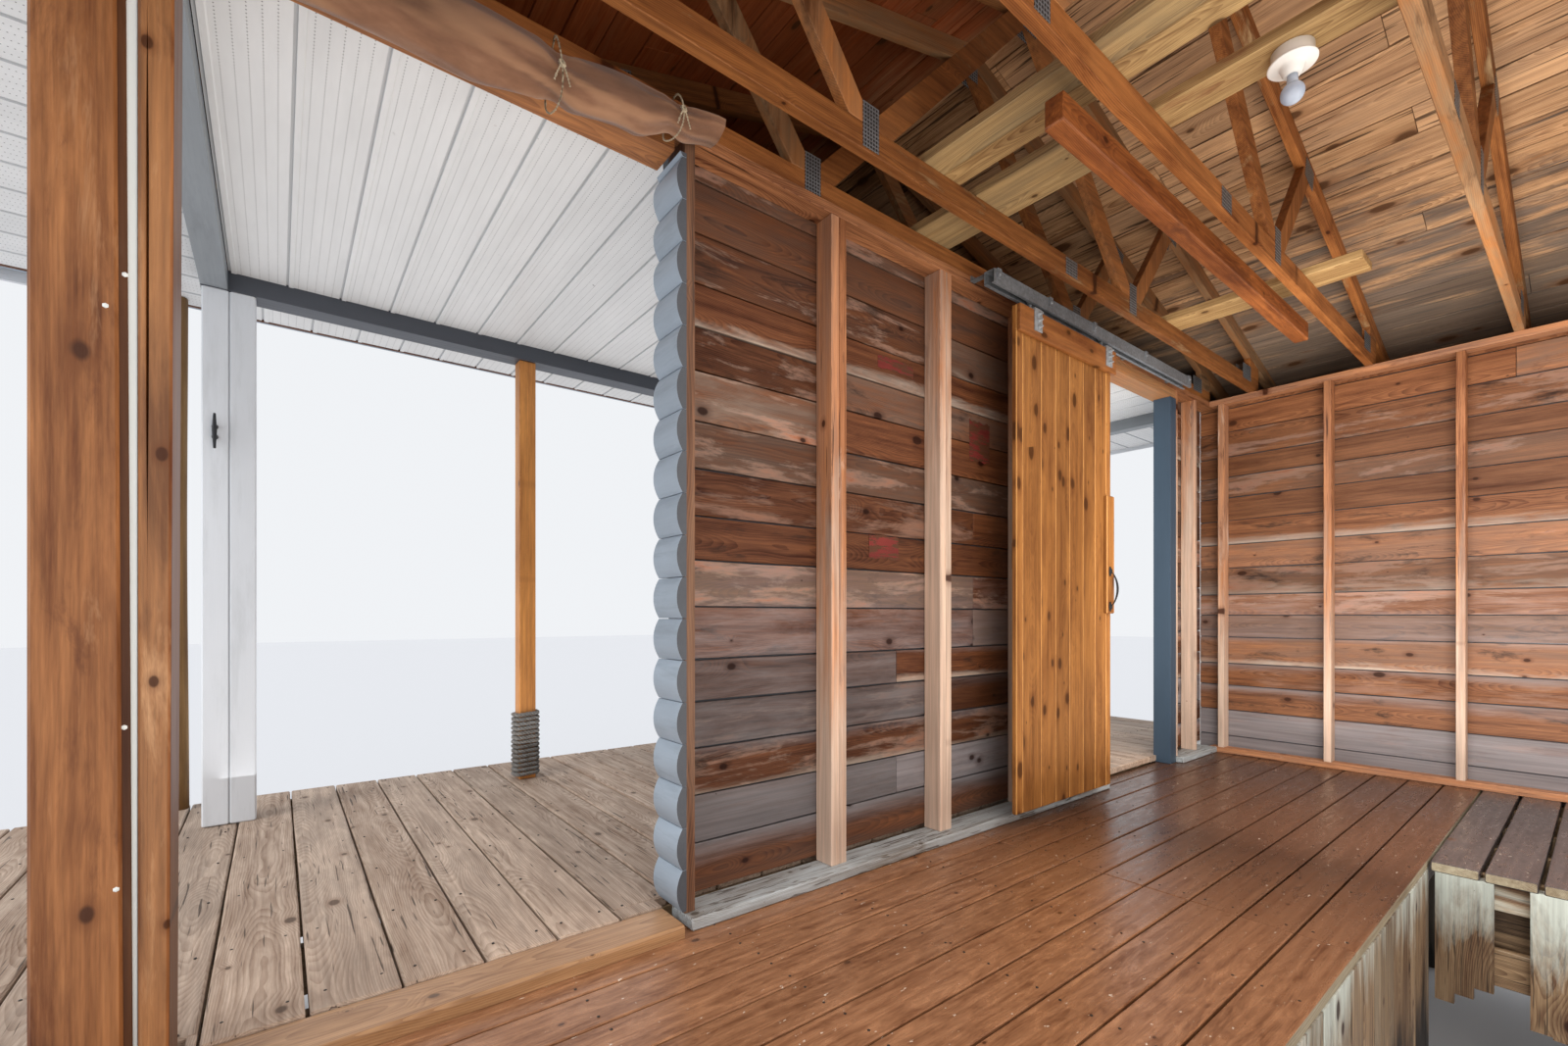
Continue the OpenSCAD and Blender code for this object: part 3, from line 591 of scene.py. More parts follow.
post, strip = Pieces("corner_post", 9), Pieces("corner_strip", 10)
wide, band, white, slim = [], [], [], []
for s in parts(32):
    z = lo.z + (hi.z - lo.z) * s
    edge = WIDE_X - LEAN * s
    wide.append(upright(lo.x, edge, lo.y, hi.y, z, 0.005))
    band.append(upright(edge - 0.006, edge + SHADE_BAND, lo.y + INSET, hi.y - 0.002, z, 0.001))
    white.append(upright(edge + SHADE_BAND - 0.003, SLIM_X, lo.y + RECESS, hi.y - 0.005, z, 0.001))
    inside = max(0, min((z - CRACK_Z[0]) / 0.3, (CRACK_Z[1] - z) / 0.3, 1))
    slim.append(upright(SLIM_X + 0.0005, hi.x - TAPER * (1 - s), lo.y, hi.y, z, 0.005,
        0.0001 + CRACK_W * inside))
# Wear of -1 on the dark band and -0.7 on the narrow timber's sides and back paints shade on them
for rings, tone, front, rest in ((wide, 0.5, 0, 0), (band, 0.3, -1, -1), (slim, 1, 1, -0.7)):
    post.loft(rings, Z, side=X, centre=Vector(), slide=False, tone=tone,
        wear=lambda p: front if p.y < lo.y + 0.001 else rest)
strip.loft(white, Z)
for x, z in ((-2.752, 2.547), (-2.727, 2.615), (-2.728, 1.758), (-2.738, 1.456)):
    head(strip, (x, lo.y + (INSET if x > WIDE_X - LEAN / 3 else 0), z), -Y, 0.005)
post.finish(M_POST, "post_wood", "corner_post")
strip.finish(M_STRIP_LIT, "post_wood", "corner_post")

# Piles: a little out of round, with drying cracks, dark where the water reaches
SIDES, CLEFT = 28, 0.009
for node, seed in (("walkway_piles", 21), ("land_piles", 22)):
    pc = Pieces(node, seed)
    for lo, hi in boxes(node):
        mid, rad = (lo + hi) / 2, (hi.x - lo.x) / 2
        lumps = [pc.vary(0, 0.05) for _ in range(5)]
        turn = [pc.vary(0, 6.28) for _ in range(5)]
        cracks = [pc.rnd.randrange(SIDES) for _ in range(3)]
        rings = []
        for s in parts(8):
            ring = []
            for k in range(SIDES):
                a = 2 * pi * k / SIDES
                waves = [l * (0.5 + 0.5 * sin((i + 1) * a + turn[i] + s * 2)) for i, l in enumerate(lumps)]
                r = rad * (1 - 0.03 * s - sum(waves) * 0.5) - (CLEFT if s and k in cracks else 0)
                ring.append(Vector((mid.x + r * cos(a), mid.y + r * sin(a), lo.z + (hi.z - lo.z) * s)))
            rings.append(ring)
        pc.loft(rings, Z, wear=lambda p: max(0, 0.9 - p.z * 1.6))
    pc.finish(M_PILE, "pile_wood", node)
lo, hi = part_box("log_post")
mid, rad, rings = (lo + hi) / 2, (hi.x - lo.x) / 2, []
for s in parts(16):
    bow = 0.005 * sin(pi * s)
    at = Vector((mid.x - bow, mid.y, lo.z + (hi.z - lo.z) * s))
    rings.append(ring_of(at, X, Y, rad * (0.98 - 0.12 * s + 0.02 * sin(9 * s)), 20))
Pieces("log_post", 23).loft(rings, Z, smooth=True).finish(M_LOG, "log", "log_post")

# Floors: boards across the building, with screws over the joists
PITCH, SLIP_Y, SLIP_X = 0.1465, 0.555, 1.09
screws = Pieces("screws", 31)


def floor_run(node, x0, x1, k0, k1, cuts, joists, seed, gap, wear):
    pc = Pieces(node, seed)
    for k in range(k0, k1):
        y0 = max(SLIP_Y + k * PITCH + gap / 2, WATER_Y)
        y1 = min(SLIP_Y + (k + 1) * PITCH - gap / 2, LAND_Y)
        if y1 - y0 < 0.02:
            continue
        for a, b in zip([x0] + cuts, cuts + [x1]):
            top = FLOOR - pc.vary(0, 0.0012)
            pc.box((a + 0.001, y0, FLOOR - PLY), (b - 0.001, y1, top), 0, ease=0.003, wander=0.0012,
                steps=4, tone=pc.vary(0.3, 0.75), wear=wear, cap=1, sides=() if k else (7,))
        for x in joists:
            for y in (y0 + 0.03, y1 - 0.03):
                head(screws, (x + pc.vary(-0.006, 0.006), y, FLOOR), Z)
    pc.finish([M_FLOOR, M_CUT], "floor_boards", node)


floor_run("head_deck", -HALF_W, HALF_W, 0, 10, [-0.05], [-2.83 + i * (5.7 - PLY) / 12 for i in range(13)],
    32, 0.006, lambda p: min(0, -0.55 * (p.x + 0.6)))
SIDE_JOISTS = (1.22, 1.65, 2.07, 2.53, 2.83)
for node, s in (("left_deck", -1), ("right_deck", 1)):
    x0, x1 = sorted((s * SLIP_X, s * HALF_W))
    floor_run(node, x0, x1, -33, 0, [], [s * x for x in SIDE_JOISTS], 34, 0.013, lambda p: 0.95)
DECK_TOP, DECK_GAP_X, DECK_PITCH, DECK_GAP, DECK_X = 1.045, -2.637, 0.1935, 0.0022, 3.55
# Where the porch deck runs on through the wall: from x, to x, and where its boards begin
DOORWAYS = ((-2.657, BAY_X, LAND_Y - 0.005), (DOOR_X0, DOOR_X1, LAND_Y - 0.005),
    (DOOR_X1, CORNER_X, LAND_Y + 0.012))
deck = Pieces("porch_deck", 35)
for k in range(-5, 33):
    x0 = max(DECK_GAP_X + k * DECK_PITCH + DECK_GAP, -DECK_X)
    x1 = min(DECK_GAP_X + (k + 1) * DECK_PITCH - DECK_GAP, DECK_X)
    if x1 - x0 < 0.03:
        continue
    y0, tone, top = LAND_Y + 0.061, deck.rnd.random(), DECK_TOP - deck.vary(0, 0.003)
    for a, b, y in DOORWAYS:
        if a <= x0 and x1 <= b:
            y0 = y
        elif min(x1, b) - max(x0, a) > 0.004:
            deck.box((max(x0, a), y, DECK_TOP - PLY), (min(x1, b), y0, top), 1, tone=tone)
    deck.box((x0, y0, DECK_TOP - PLY), (x1, 4.4, top), 1, ease=0.005, wander=0.0025, steps=6, tone=tone)
    for y in (2.055, 2.46, 2.89, 3.32, 3.76, 4.2, 4.36):
        for x in (x0 + 0.035, x1 - 0.035):
            head(screws, (x, y + deck.vary(-0.006, 0.006), DECK_TOP), Z)
deck.finish(M_DECK, "deck_boards", "porch_deck")
screws.finish(M_SCREW, "galvanized")

# Slip lining: upright boards on two walers, pale at the top, brown below and rotten at the foot
WALERS, STRIPS = ((0.858, 0.957), (0.574, 0.712)), 3


def lining(pc, start, along, back, length, widths, gap, bottom):
    start, s, i = Vector(start), 0, 0
    while s < length - 0.02:
        w = min(widths[i % len(widths)] * pc.vary(0.96, 1.04), length - s)
        tone, shift = pc.rnd.random(), pc.vary(-0.08, 0.25)
        foot, skew = pc.vary(*bottom), pc.vary(-0.02, 0.02) if i else 0.045
        heart = start + along * (s + w / 2) - Z * pc.vary(0, 90)
        for k in range(STRIPS):
            mid = start + along * (s + w * (k + 0.5) / STRIPS) + back * 0.0125
            low = mid + Z * (foot + skew * k + pc.vary(0, 0.01))
            pc.plank(low, mid + Z * (FLOOR - PLY), along, w / STRIPS, 0.024, ease=0.0002, tone=tone,
                wear=lambda p: 1.25 + shift - 1.35 * p.z, centre=heart, slide=False)
        s += w + pc.vary(0.8, 1.1) * gap
        i += 1
    for low, high in WALERS:
        mid = start + back * 0.055 + Z * ((low + high) / 2)
        pc.plank(mid, mid + along * length, Z, high - low, 0.058, ease=0.003, wander=0.001, steps=3,
            wear=lambda p: 1.1 - p.z)
    low, high = WALERS[1][1], WALERS[0][0]
    mid = start + back * 0.07 + Z * ((low + high) / 2)
    pc.plank(mid, mid + along * length, Z, high - low - 0.002, 0.02, wear=lambda p: 0.75)


pc = Pieces("slip_head_lining", 41)
lining(pc, (-SLIP_X - 0.025, SLIP_Y, 0), X, Y, 2 * SLIP_X + 0.05, (0.14, 0.09, 0.19, 0.14), 0.004,
    (0.1, 0.16))
pc.finish(M_LINING, "lining_boards", "slip_head_lining")
pc = Pieces("slip_side_linings", 42)
for s in (1, -1):
    lining(pc, (s * SLIP_X, SLIP_Y - 0.02, 0), -Y, X * s, SLIP_Y - WATER_Y - 0.02, (0.155, 0.16, 0.15),
        0.085, (0.43, 0.56))
pc.finish(M_LINING, "lining_boards", "slip_side_linings")

# Land wall framing: each stud has its left face, its tone and its wear at the floor; the end stud is dark
LESS_WEAR = 0.42
studs = Pieces("land_wall_studs", 51)
for x, tone, wear in ((PANEL_X, 0, -0.8), (-0.88, 0.86, 0.95), (-0.842, 0.55, 0.95), (-0.25, 0.83, 1.35),
        (-0.212, 0.7, 1.35), (0.39, 0.4, 1.35), (1.0, 0.5, 1.35), (DOOR_X0 - 2 * PLY, 0.36, 1.35),
        (DOOR_X1 + STUD, 0.45, 1.35), (2.5, 0.6, 1.35)):
    studs.box((x, LAND_Y - STUD, FLOOR + PLY), (x + PLY, LAND_Y, TOP - PLY), 2, wander=0.0015, steps=6,
        tone=tone, wear=lambda p: wear - LESS_WEAR * (p.z - FLOOR) if tone else wear)
studs.box((-HALF_W, LAND_Y - STUD, TOP - PLY), (HALF_W, LAND_Y, TOP), 0, tone=0.25)
studs.finish(M_STUD, "old_stud", "land_wall_studs")
plates = Pieces("base_plates", 52)
for x0, x1, steps in ((PANEL_X, DOOR_X0 - PLY, 14), (DOOR_X1 + STUD, HALF_W - STUD, 3)):
    plates.box((x0, LAND_Y - 0.14, FLOOR), (x1, LAND_Y, FLOOR + PLY), 0, ease=0.005, wander=0.003,
        steps=steps)
plates.finish(M_PLATE, "old_stud", "land_wall_studs")


def framing(node, seed, plates, posts):
    """Plates and studs of one of the other walls, as pairs of corners."""
    pc = Pieces(node, seed)
    for a, b in plates:
        pc.box(a, b, steps=6, wander=0.001)
    for a, b in posts:
        pc.box(a, b, 2, steps=6, wander=0.0015, wear=lambda p: 0.95 - LESS_WEAR * (p.z - FLOOR))
    pc.finish(M_STUD, "old_stud", node)


LOW, HIGH = (FLOOR, FLOOR + PLY), (TOP - PLY, TOP)
IN_Y, IN_X = WATER_Y + STUD, HALF_W - STUD
for node, seed, s, y1, count, more in (("right_wall_studs", 53, 1, LAND_Y - STUD, 11, []),
        ("left_wall_studs", 54, -1, WATER_Y + LEFT_L, 8, [4.655])):
    x0, x1 = sorted((s * HALF_W, s * IN_X))
    ys = [WATER_Y + y for y in [0.095 + 0.59 * i for i in range(count)] + more]
    framing(node, seed, [((x0, WATER_Y, z0), (x1, y1, z1)) for z0, z1 in (LOW, HIGH)],
        [((x0, y, LOW[1]), (x1, y + PLY, HIGH[0])) for y in ys])
across = ((-IN_X, IN_X, HIGH), (-IN_X, -MOUTH, LOW), (MOUTH, IN_X, LOW))
stud_x = [x for a in (MOUTH, MOUTH + PLY, 1.85, 2.48) for x in (a, -a - PLY)]
framing("water_wall_studs", 55, [((x0, WATER_Y, z0), (x1, IN_Y, z1)) for x0, x1, (z0, z1) in across],
    [((x, WATER_Y, LOW[1]), (x + PLY, IN_Y, HIGH[0])) for x in stud_x])

# Walls: rough boards inside, round log siding outside
COURSE, BULGE, BUTT = 0.13, 0.02, 0.0008
LAND_Z, SKIRT_Z = FLOOR + 0.05, FLOOR - 0.22
ROUND_R = ((COURSE / 2 - 0.002) ** 2 + BULGE ** 2) / (2 * BULGE)


def course_face(z0, z1, zc, gap, n):
    """Round face of a course whose crest is at zc, as (depth behind the crest, height)."""
    heights = [z0 + gap + (z1 - z0 - 2 * gap) * s for s in parts(n)]
    return [(min(ROUND_R - sqrt(max(ROUND_R ** 2 - (z - zc) ** 2, 0)), BULGE), z) for z in heights]


def grey(z):
    """How far the bare boards of a wall have greyed: most at the floor, not at all in the upper half."""
    return min(0, 0.6 * (z - FLOOR) - 1)


def sheathing(pc, start, along, out, length, z1):
    """Boards of uneven width, broken over the studs."""
    z = 0
    while z < z1 - 0.01:
        w = min(pc.vary(0.14, 0.19), z1 - z)
        if z1 - z - w < 0.05:
            w = z1 - z
        breaks = [length * pc.rnd.choice((0.25, 0.4, 0.5, 0.6, 0.75))] if length > 2 else []
        for a, b in zip([0] + breaks, breaks + [length]):
            mid = start + out * (SHEATH / 2 + pc.vary(-0.0005, 0.001)) + Z * (z + w / 2)
            pale = pc.rnd.choice((0, 0, 0.7, 1))
            pc.plank(mid + along * (a + 0.001), mid + along * (b - 0.001), Z, w - 0.0035, SHEATH - 0.002,
                ease=0.0015, wander=0.0025, steps=8,
                wear=lambda p: grey(p.z) + (1 - grey(p.z)) * pale * (mid.z + w / 2 - p.z) / w)
        z += w


def siding(pc, start, along, out, length, height, reach=None):
    """Courses with a round face. reach(z) cuts both ends of a course to a slope."""
    for i in range(ceil(height / COURSE)):
        z0, z1 = i * COURSE, min((i + 1) * COURSE, height)
        if z1 - z0 < 0.008 or (reach and reach(z0 + 0.0015) < 0.02):
            continue
        pts = [(SHEATH, z1 - 0.0015), (SHEATH, z0 + 0.0015)]
        pts += [(SKIN - d, z) for d, z in course_face(z0, z1, (i + 0.5) * COURSE, 0.0015, 10)]
        breaks = [length * pc.vary(0.3, 0.7)] if length > 2.4 and not reach else []
        for a, b in zip([0] + breaks, breaks + [length]):
            rings = [[], []]
            for o, z in pts:
                ends = (a + BUTT, b - BUTT)
                if reach:
                    ends = (max(a, length / 2 - reach(z)), min(b, length / 2 + reach(z)))
                for ring, q in zip(rings, ends):
                    ring.append(start + along * q + out * o + Z * z)
            # The back face of each course takes the dark slate colour as painted shade for the gaps between
            # the boards
            pc.loft(rings, along, side=Z, cap=1, sides=(0,))


def wall(stem, node, start, along, out, length, height, seed):
    """One wall's inner boards and outer siding; both stand for its node."""
    inner, outer = Pieces(stem + "_boards", seed), Pieces(stem + "_siding", seed + 1)
    sheathing(inner, Vector(start), along, out, length, height)
    inner.finish(M_SHEATH if "land" in stem else M_WALL, "old_stud", node)
    siding(outer, Vector(start), along, out, length, height)
    outer.finish([M_SIDING, M_ENDS_AND_BACK_SHADE], "siding_paint", node)


LAND_H, SIDE_H = TOP - 0.012 - LAND_Z, TOP - 0.002 - SKIRT_Z
PANEL_L = DOOR_X0 - PLY - PANEL_X
wall("land_panel", "land_siding_panel", (PANEL_X, LAND_Y, LAND_Z), X, Y, PANEL_L, LAND_H, 61)
wall("land_corner", "land_siding_corner", (CORNER_X, LAND_Y, LAND_Z), X, Y, HALF_W - CORNER_X, LAND_H, 63)
wall("right_wall", "right_siding", (HALF_W, LAND_Y, SKIRT_Z), -Y, X, LAND_Y - WATER_Y, SIDE_H, 65)
wall("left_wall", "left_siding", (-HALF_W, WATER_Y, SKIRT_Z), Y, -X, LEFT_L, SIDE_H, 67)
for stem, x, seed in (("water_wall_a", -MOUTH, 69), ("water_wall_b", HALF_W, 71)):
    wall(stem, "water_siding", (x, WATER_Y, SKIRT_Z), -X, -Y, HALF_W - MOUTH, SIDE_H, seed)

# Old red paint left on three of the boards
red = Pieces("red_paint", 72)
for x0, x1, z0, z1 in ((-0.543, -0.324, 2.995, 3.055), (-0.594, -0.418, 2.2, 2.31),
        (0.076, 0.235, 2.7, 2.9)):
    red.box((x0, LAND_Y - 0.0004, z0), (x1, LAND_Y + 0.001, z1), 0, ease=0.0002, wander=0.012, steps=7)
red.finish(M_RED, "old_stud")
GABLE_BOARD = 0.16


def gable(node, start, along, out, half, height, seed):
    """Siding that is cut to the roof's slope, with boards behind it."""
    def reach(z):
        return max(0, min(half, HALF_W + (HEEL - 0.003 - (start[2] + z - TOP)) / SLOPE))
    pc = Pieces(node, seed)
    siding(pc, Vector(start), along, out, 2 * half, height, reach)
    for i in range(ceil(height / GABLE_BOARD)):
        z0, z1 = i * GABLE_BOARD, (i + 1) * GABLE_BOARD - 0.003
        if reach(z1) < 0.05:
            break
        section = ((0.001, z0), (SHEATH - 0.001, z0), (SHEATH - 0.001, z1), (0.001, z1))
        pc.loft([[Vector(start) + along * (half + e * reach(z)) + out * o + Z * z for o, z in section]
            for e in (-1, 1)], along, side=Z, cap=2, sides=range(4))
    pc.finish([M_SIDING, M_ENDS_AND_BACK_SHADE, M_SHEATH], "siding_paint", node)


gable("water_gable", (HALF_W, WATER_Y, TOP), -X, -Y, HALF_W, 1.1, 73)
gable("land_gable", (-EAVE_X, 4.4, TOP - 0.012), X, Y, EAVE_X, 1.12, 74)

# Short siding pieces round the end of the panel, with painted end grain
jamb = Pieces("jamb_siding", 75)
lo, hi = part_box("jamb_siding")
for i in range(ceil((hi.z - lo.z) / COURSE)):
    z0, z1 = lo.z + i * COURSE, min(lo.z + (i + 1) * COURSE, hi.z)
    pts = [(lo.x + d, z) for d, z in course_face(z0, z1, lo.z + (i + 0.5) * COURSE, 0.0012, 12)]
    pts += [(hi.x, z1 - 0.0012), (hi.x, z0 + 0.0012)]
    jamb.loft([[Vector((x, y, z)) for x, z in pts] for y in (lo.y, hi.y)], Y, side=Z, cap=1)
jamb.finish([M_SIDING, M_ENDS_AND_BACK_SHADE], "siding_paint", "jamb_siding")

# White posts: two boards each, with a rope cleat on the left one
whites = Pieces("white_posts", 81)
for lo, hi in boxes("white_posts"):
    seam = (lo.x + hi.x) / 2
    for x0, x1 in ((lo.x, seam - 0.001), (seam + 0.001, hi.x)):
        whites.box((x0, lo.y, lo.z), (x1, hi.y, hi.z), 2, ease=0.005, steps=5, wander=0.001)
whites.finish(M_WHITE, "white_paint", "white_posts")
cleat, CLEAT = Pieces("cleat", 82), Vector((-2.715, 3.88, 2.775))
for s in (-1, 1):
    lathe(cleat, CLEAT + Z * (0.022 * s), -Y, [(0, 0.012), (0.004, 0.011), (0.024, 0.008), (0.03, 0.008)],
        12)
horn = [(CLEAT - Y * (0.033 - 0.009 * (s / 4) ** 2) + Z * (0.019 * s), 0.009 - 0.0011 * abs(s))
    for s in range(-4, 5)]
cleat.loft([ring_of(p, X, Y, r, 10) for p, r in horn], Z, smooth=True)
cleat.finish(M_IRON, "galvanized")


def lengths(pts):
    """How far along the line each of its points lies."""
    out = [0]
    for a, b in zip(pts, pts[1:]):
        out.append(out[-1] + (b - a).length)
    return out


def rope(pc, path, r, lay=0.018):
    """A laid rope of three strands: each is a tube that winds round the path, one turn in lay metres."""
    pts = [Vector(p) for p in path]
    dist = lengths(pts)
    for j in range(3):
        rings = []
        for i, p in enumerate(pts):
            d = (pts[min(i + 1, len(pts) - 1)] - pts[max(i - 1, 0)]).normalized()
            u = d.cross(Z if abs(d.z) < 0.95 else X).normalized()
            v = d.cross(u)
            ang = 2 * pi * (dist[i] / lay + j / 3)
            rings.append(ring_of(p + (u * cos(ang) + v * sin(ang)) * (r * 0.46), u, v, r * 0.56, 6, ang))
        pc.loft(rings, X, smooth=True)


# Rope round the cedar posts, from the deck up
wrap, ROPE_R, TURNS, STEPS, POST_HALF = Pieces("post_rope", 83), 0.0125, 14, 40, 0.0445
for lo, hi in boxes("cedar_posts"):
    cx, cy, path = (lo.x + hi.x) / 2, (lo.y + hi.y) / 2, []
    for i in range(TURNS * STEPS + 1):
        c, s = cos(2 * pi * i / STEPS), sin(2 * pi * i / STEPS)
        reach = (POST_HALF + ROPE_R) * (abs(c) ** 7 + abs(s) ** 7) ** (-1 / 7)
        path.append((cx + reach * c, cy + reach * s, DECK_TOP + ROPE_R + 0.001
            + 2 * ROPE_R * 1.03 * i / STEPS))
    rope(wrap, path, ROPE_R, 0.05)
wrap.finish(M_GREYROPE, "rope")

# Porch ceiling panels side by side, each with a step along one edge whose two faces take a greyer white as
# painted shade
PANEL_W, NARROW = 0.203, 0.04
for node, along, side, i0, i1 in (("porch_ceiling", Y, X, 1, 0), ("eave_ceilings", X, Y, 0, 1)):
    ceiling = Pieces(node, 85)
    for lo, hi in boxes(node):
        s, up, step = lo[i1], lo.z + 0.003, lo.z + 0.009
        while s < hi[i1] - 0.01:
            w = min(PANEL_W, hi[i1] - s)
            prof = [(0, up)]
            if w > NARROW:
                prof = [(0, step), (0.008, step), (0.01, lo.z), (0.026, lo.z), (0.03, up)]
            prof += [(w, up), (w, hi.z), (0, hi.z)]
            ceiling.loft([[side * (s + u) + along * e + Z * z for u, z in prof] for e in (lo[i0], hi[i0])],
                along, side=side, centre=side * s + along * ((lo[i0] + hi[i0]) / 2) + Z * lo.z)
            # The step's two faces take the greyer seam white, which is painted shade
            if w > NARROW:
                ceiling.kind[-10:-8] = [1, 1]
            s += w
    ceiling.finish([M_SOFFIT, M_SEAM_SHADE], "ceiling_panel", node)

# Roof boards along the building, on the top chords
for node, s in (("roof_boards_left", -1), ("roof_boards_right", 1)):
    pc, u = Pieces(node, 91 + s), 0.002
    down, out, ridge, run = roof_frame(s)
    while u < run - 0.02:
        w = min(pc.vary(0.13, 0.19), run - u)
        breaks = sorted(pc.vary(-3.6, 3.6) for _ in range(2))
        for a, b in zip([-ROOF_Y] + breaks, breaks + [ROOF_Y]):
            mid = ridge + down * (u + w / 2) + out * (0.0076 + pc.vary(-0.0006, 0.0006))
            pc.plank(mid + Y * (a + 0.001), mid + Y * (b - 0.001), down, w - 0.0025, 0.0142, ease=0.0012,
                wander=0.003, steps=max(2, int((b - a) / 0.3)),
                wear=lambda p: p.x / EAVE_X - (0.4 if s < 0 else 0))
        u += w
    pc.finish(M_ROOF, "roof_wood", node)

# Shingles in courses, tabs a little uneven, and a ridge cap of lapped pieces
shingles, EXPOSE, TAB, CAP, CAP_L, CAP_X = Pieces("shingles", 95), 0.14, 0.3, 0.29, 0.31, 0.15
for s in (-1, 1):
    down, out, ridge, u = roof_frame(s)
    ridge, row = ridge + out * 0.0158, 0
    while u > 0.02:
        top, y = max(u - EXPOSE - 0.02, 0), -ROOF_Y - (row % 2) * TAB / 2
        while y < ROOF_Y - 0.01:
            y0, y1 = max(y, -ROOF_Y) + 0.002, min(y + TAB, ROOF_Y) - 0.002
            if y1 - y0 > 0.02:
                low, tall = u - shingles.vary(0, 0.004), 0.0085 + shingles.vary(0, 0.001)
                section = ((top, 0.0002), (low, 0.0002), (low, tall), (top, tall - 0.005))
                shingles.loft([[ridge + down * d + out * h + Y * e for d, h in section] for e in (y0, y1)],
                    down, side=Y)
            y += TAB
        u -= EXPOSE
        row += 1
section = ((-CAP_X, 0), (0, 0), (CAP_X, 0), (CAP_X, 0.007), (0, 0.008), (-CAP_X, 0.007))
for i in range(31):
    ends = ((-ROOF_Y + i * CAP, 0.026), (min(-ROOF_Y + i * CAP + CAP_L, ROOF_Y), 0.0235))
    shingles.loft([[Vector((x, y, roof_z(x) + h + up)) for x, up in section] for y, h in ends], Y, side=X)
shingles.finish(M_ROOFING, "roofing", "roofing")

# Nail plates on both faces of each truss
TRUSS_Y = [1.635 - 0.61 * k for k in range(10)] + [LAND_Y - 0.044, WATER_Y + 0.019, 2.56, 3.17, 3.78, 4.381]
nail = Pieces("nail_plates", 101)
for y in TRUSS_Y:
    for face in (y - PLY / 2 - 0.0006, y + PLY / 2 + 0.0006):
        for xs, z, w, h, rise in (
                ((-0.95, 0.95), TOP + 0.085, 0.076, 0.15, 0),
                ((0.34,), TOP + STUD / 2, 0.1, 0.076, 0),
                ((-2.62, 2.62), TOP + 0.1, 0.15, 0.1, 0),
                ((0,), roof_z(0) - 0.1, 0.1, 0.13, 0),
                ((-1.425, 1.425), roof_z(1.425) - 0.075, 0.13, 0.1, SLOPE)):
            for x in xs:
                ax = Vector((1, 0, rise if x < 0 else -rise)).normalized()
                mid = Vector((x, face, z))
                nail.plank(mid - ax * w / 2, mid + ax * w / 2, (-ax.z, 0, ax.x), h, 0.0012, ease=0.0003,
                    slide=False)
nail.finish(M_NAILPLATE, "galvanized")

# Planks over the chords, and the hoist beam under them
loft, beam = Pieces("loft_planks", 103), Pieces("hoist_beam", 104)
for lo, hi in boxes("loft_timbers"):
    if lo.z < TOP:
        beam.box(lo, hi, 0, ease=0.003, wander=0.003, steps=14, tone=0.5)
    elif hi.x < -0.4:
        seam = lo.x + 0.11
        for x0, x1, tone in ((lo.x, seam - 0.0005, 0.3), (seam + 0.0005, hi.x, 0.6)):
            loft.box((x0, lo.y, lo.z), (x1, hi.y, hi.z), 1, ease=0.003, wander=0.001, steps=5, tone=tone)
    else:
        loft.box(lo, hi, 1, ease=0.003, wander=0.002, steps=6)
loft.finish(M_PALE, "old_stud", "loft_timbers")
beam.finish(M_BEAM, "old_stud", "loft_timbers")

# Lamp: porcelain holder with a bulb
lo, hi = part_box("lamp_holder")
LAMP = Vector(((lo.x + hi.x) / 2, (lo.y + hi.y) / 2, hi.z))
prof = [(0, 0.049), (0.002, 0.0515), (0.03, 0.0515), (0.034, 0.0535), (0.036, 0.0585), (0.039, 0.0598),
    (0.042, 0.059), (0.0435, 0.056), (0.045, 0.034), (0.048, 0.0295), (0.056, 0.028), (0.064, 0.0255),
    (0.07, 0.022), (0.072, 0.0205), (0.072, 0.014)]
lathe(Pieces("lamp_holder", 105), LAMP, -Z, prof, 48).finish(M_PORCELAIN, "porcelain", "lamp_holder")
LAMP.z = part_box("lamp_bulb")[1].z
prof = [(0, 0.0128), (0.012, 0.0135), (0.022, 0.0145), (0.03, 0.0175)]
for d in range(48, 180, 12):
    prof.append((0.051 - 0.0295 * cos(radians(d)), 0.0295 * sin(radians(d))))
prof.append((0.0804, 0.0015))
lathe(Pieces("lamp_bulb", 106), LAMP, -Z, prof, 32).finish(M_GLASS, "bulb_glass", "lamp_bulb")
prof = [(0, 0.008), (0.016, 0.006), (0.034, 0.003), (0.05, 0.0015)]
lathe(Pieces("lamp_filament", 107), LAMP - Z * 0.004, -Z, prof, 10).finish(M_PORCELAIN, "porcelain")

# Sliding door: upright boards whose eased edges carry a pale painted highlight, a top rail and a pull board
# in front, ledges behind
lo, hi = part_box("sliding_door")
RAIL_T, RAIL_H, LEAF_T, EDGE_W, LIP, PULL_W = 0.02, 0.122, 0.024, 0.05, 0.02, 0.078
FRONT, BACK, END = lo.y + RAIL_T, lo.y + RAIL_T + LEAF_T, hi.x - LIP
SEAMS = (lo.x, lo.x + EDGE_W, 0.325, 0.454, 0.583, 0.716, 0.839, 0.955, END)
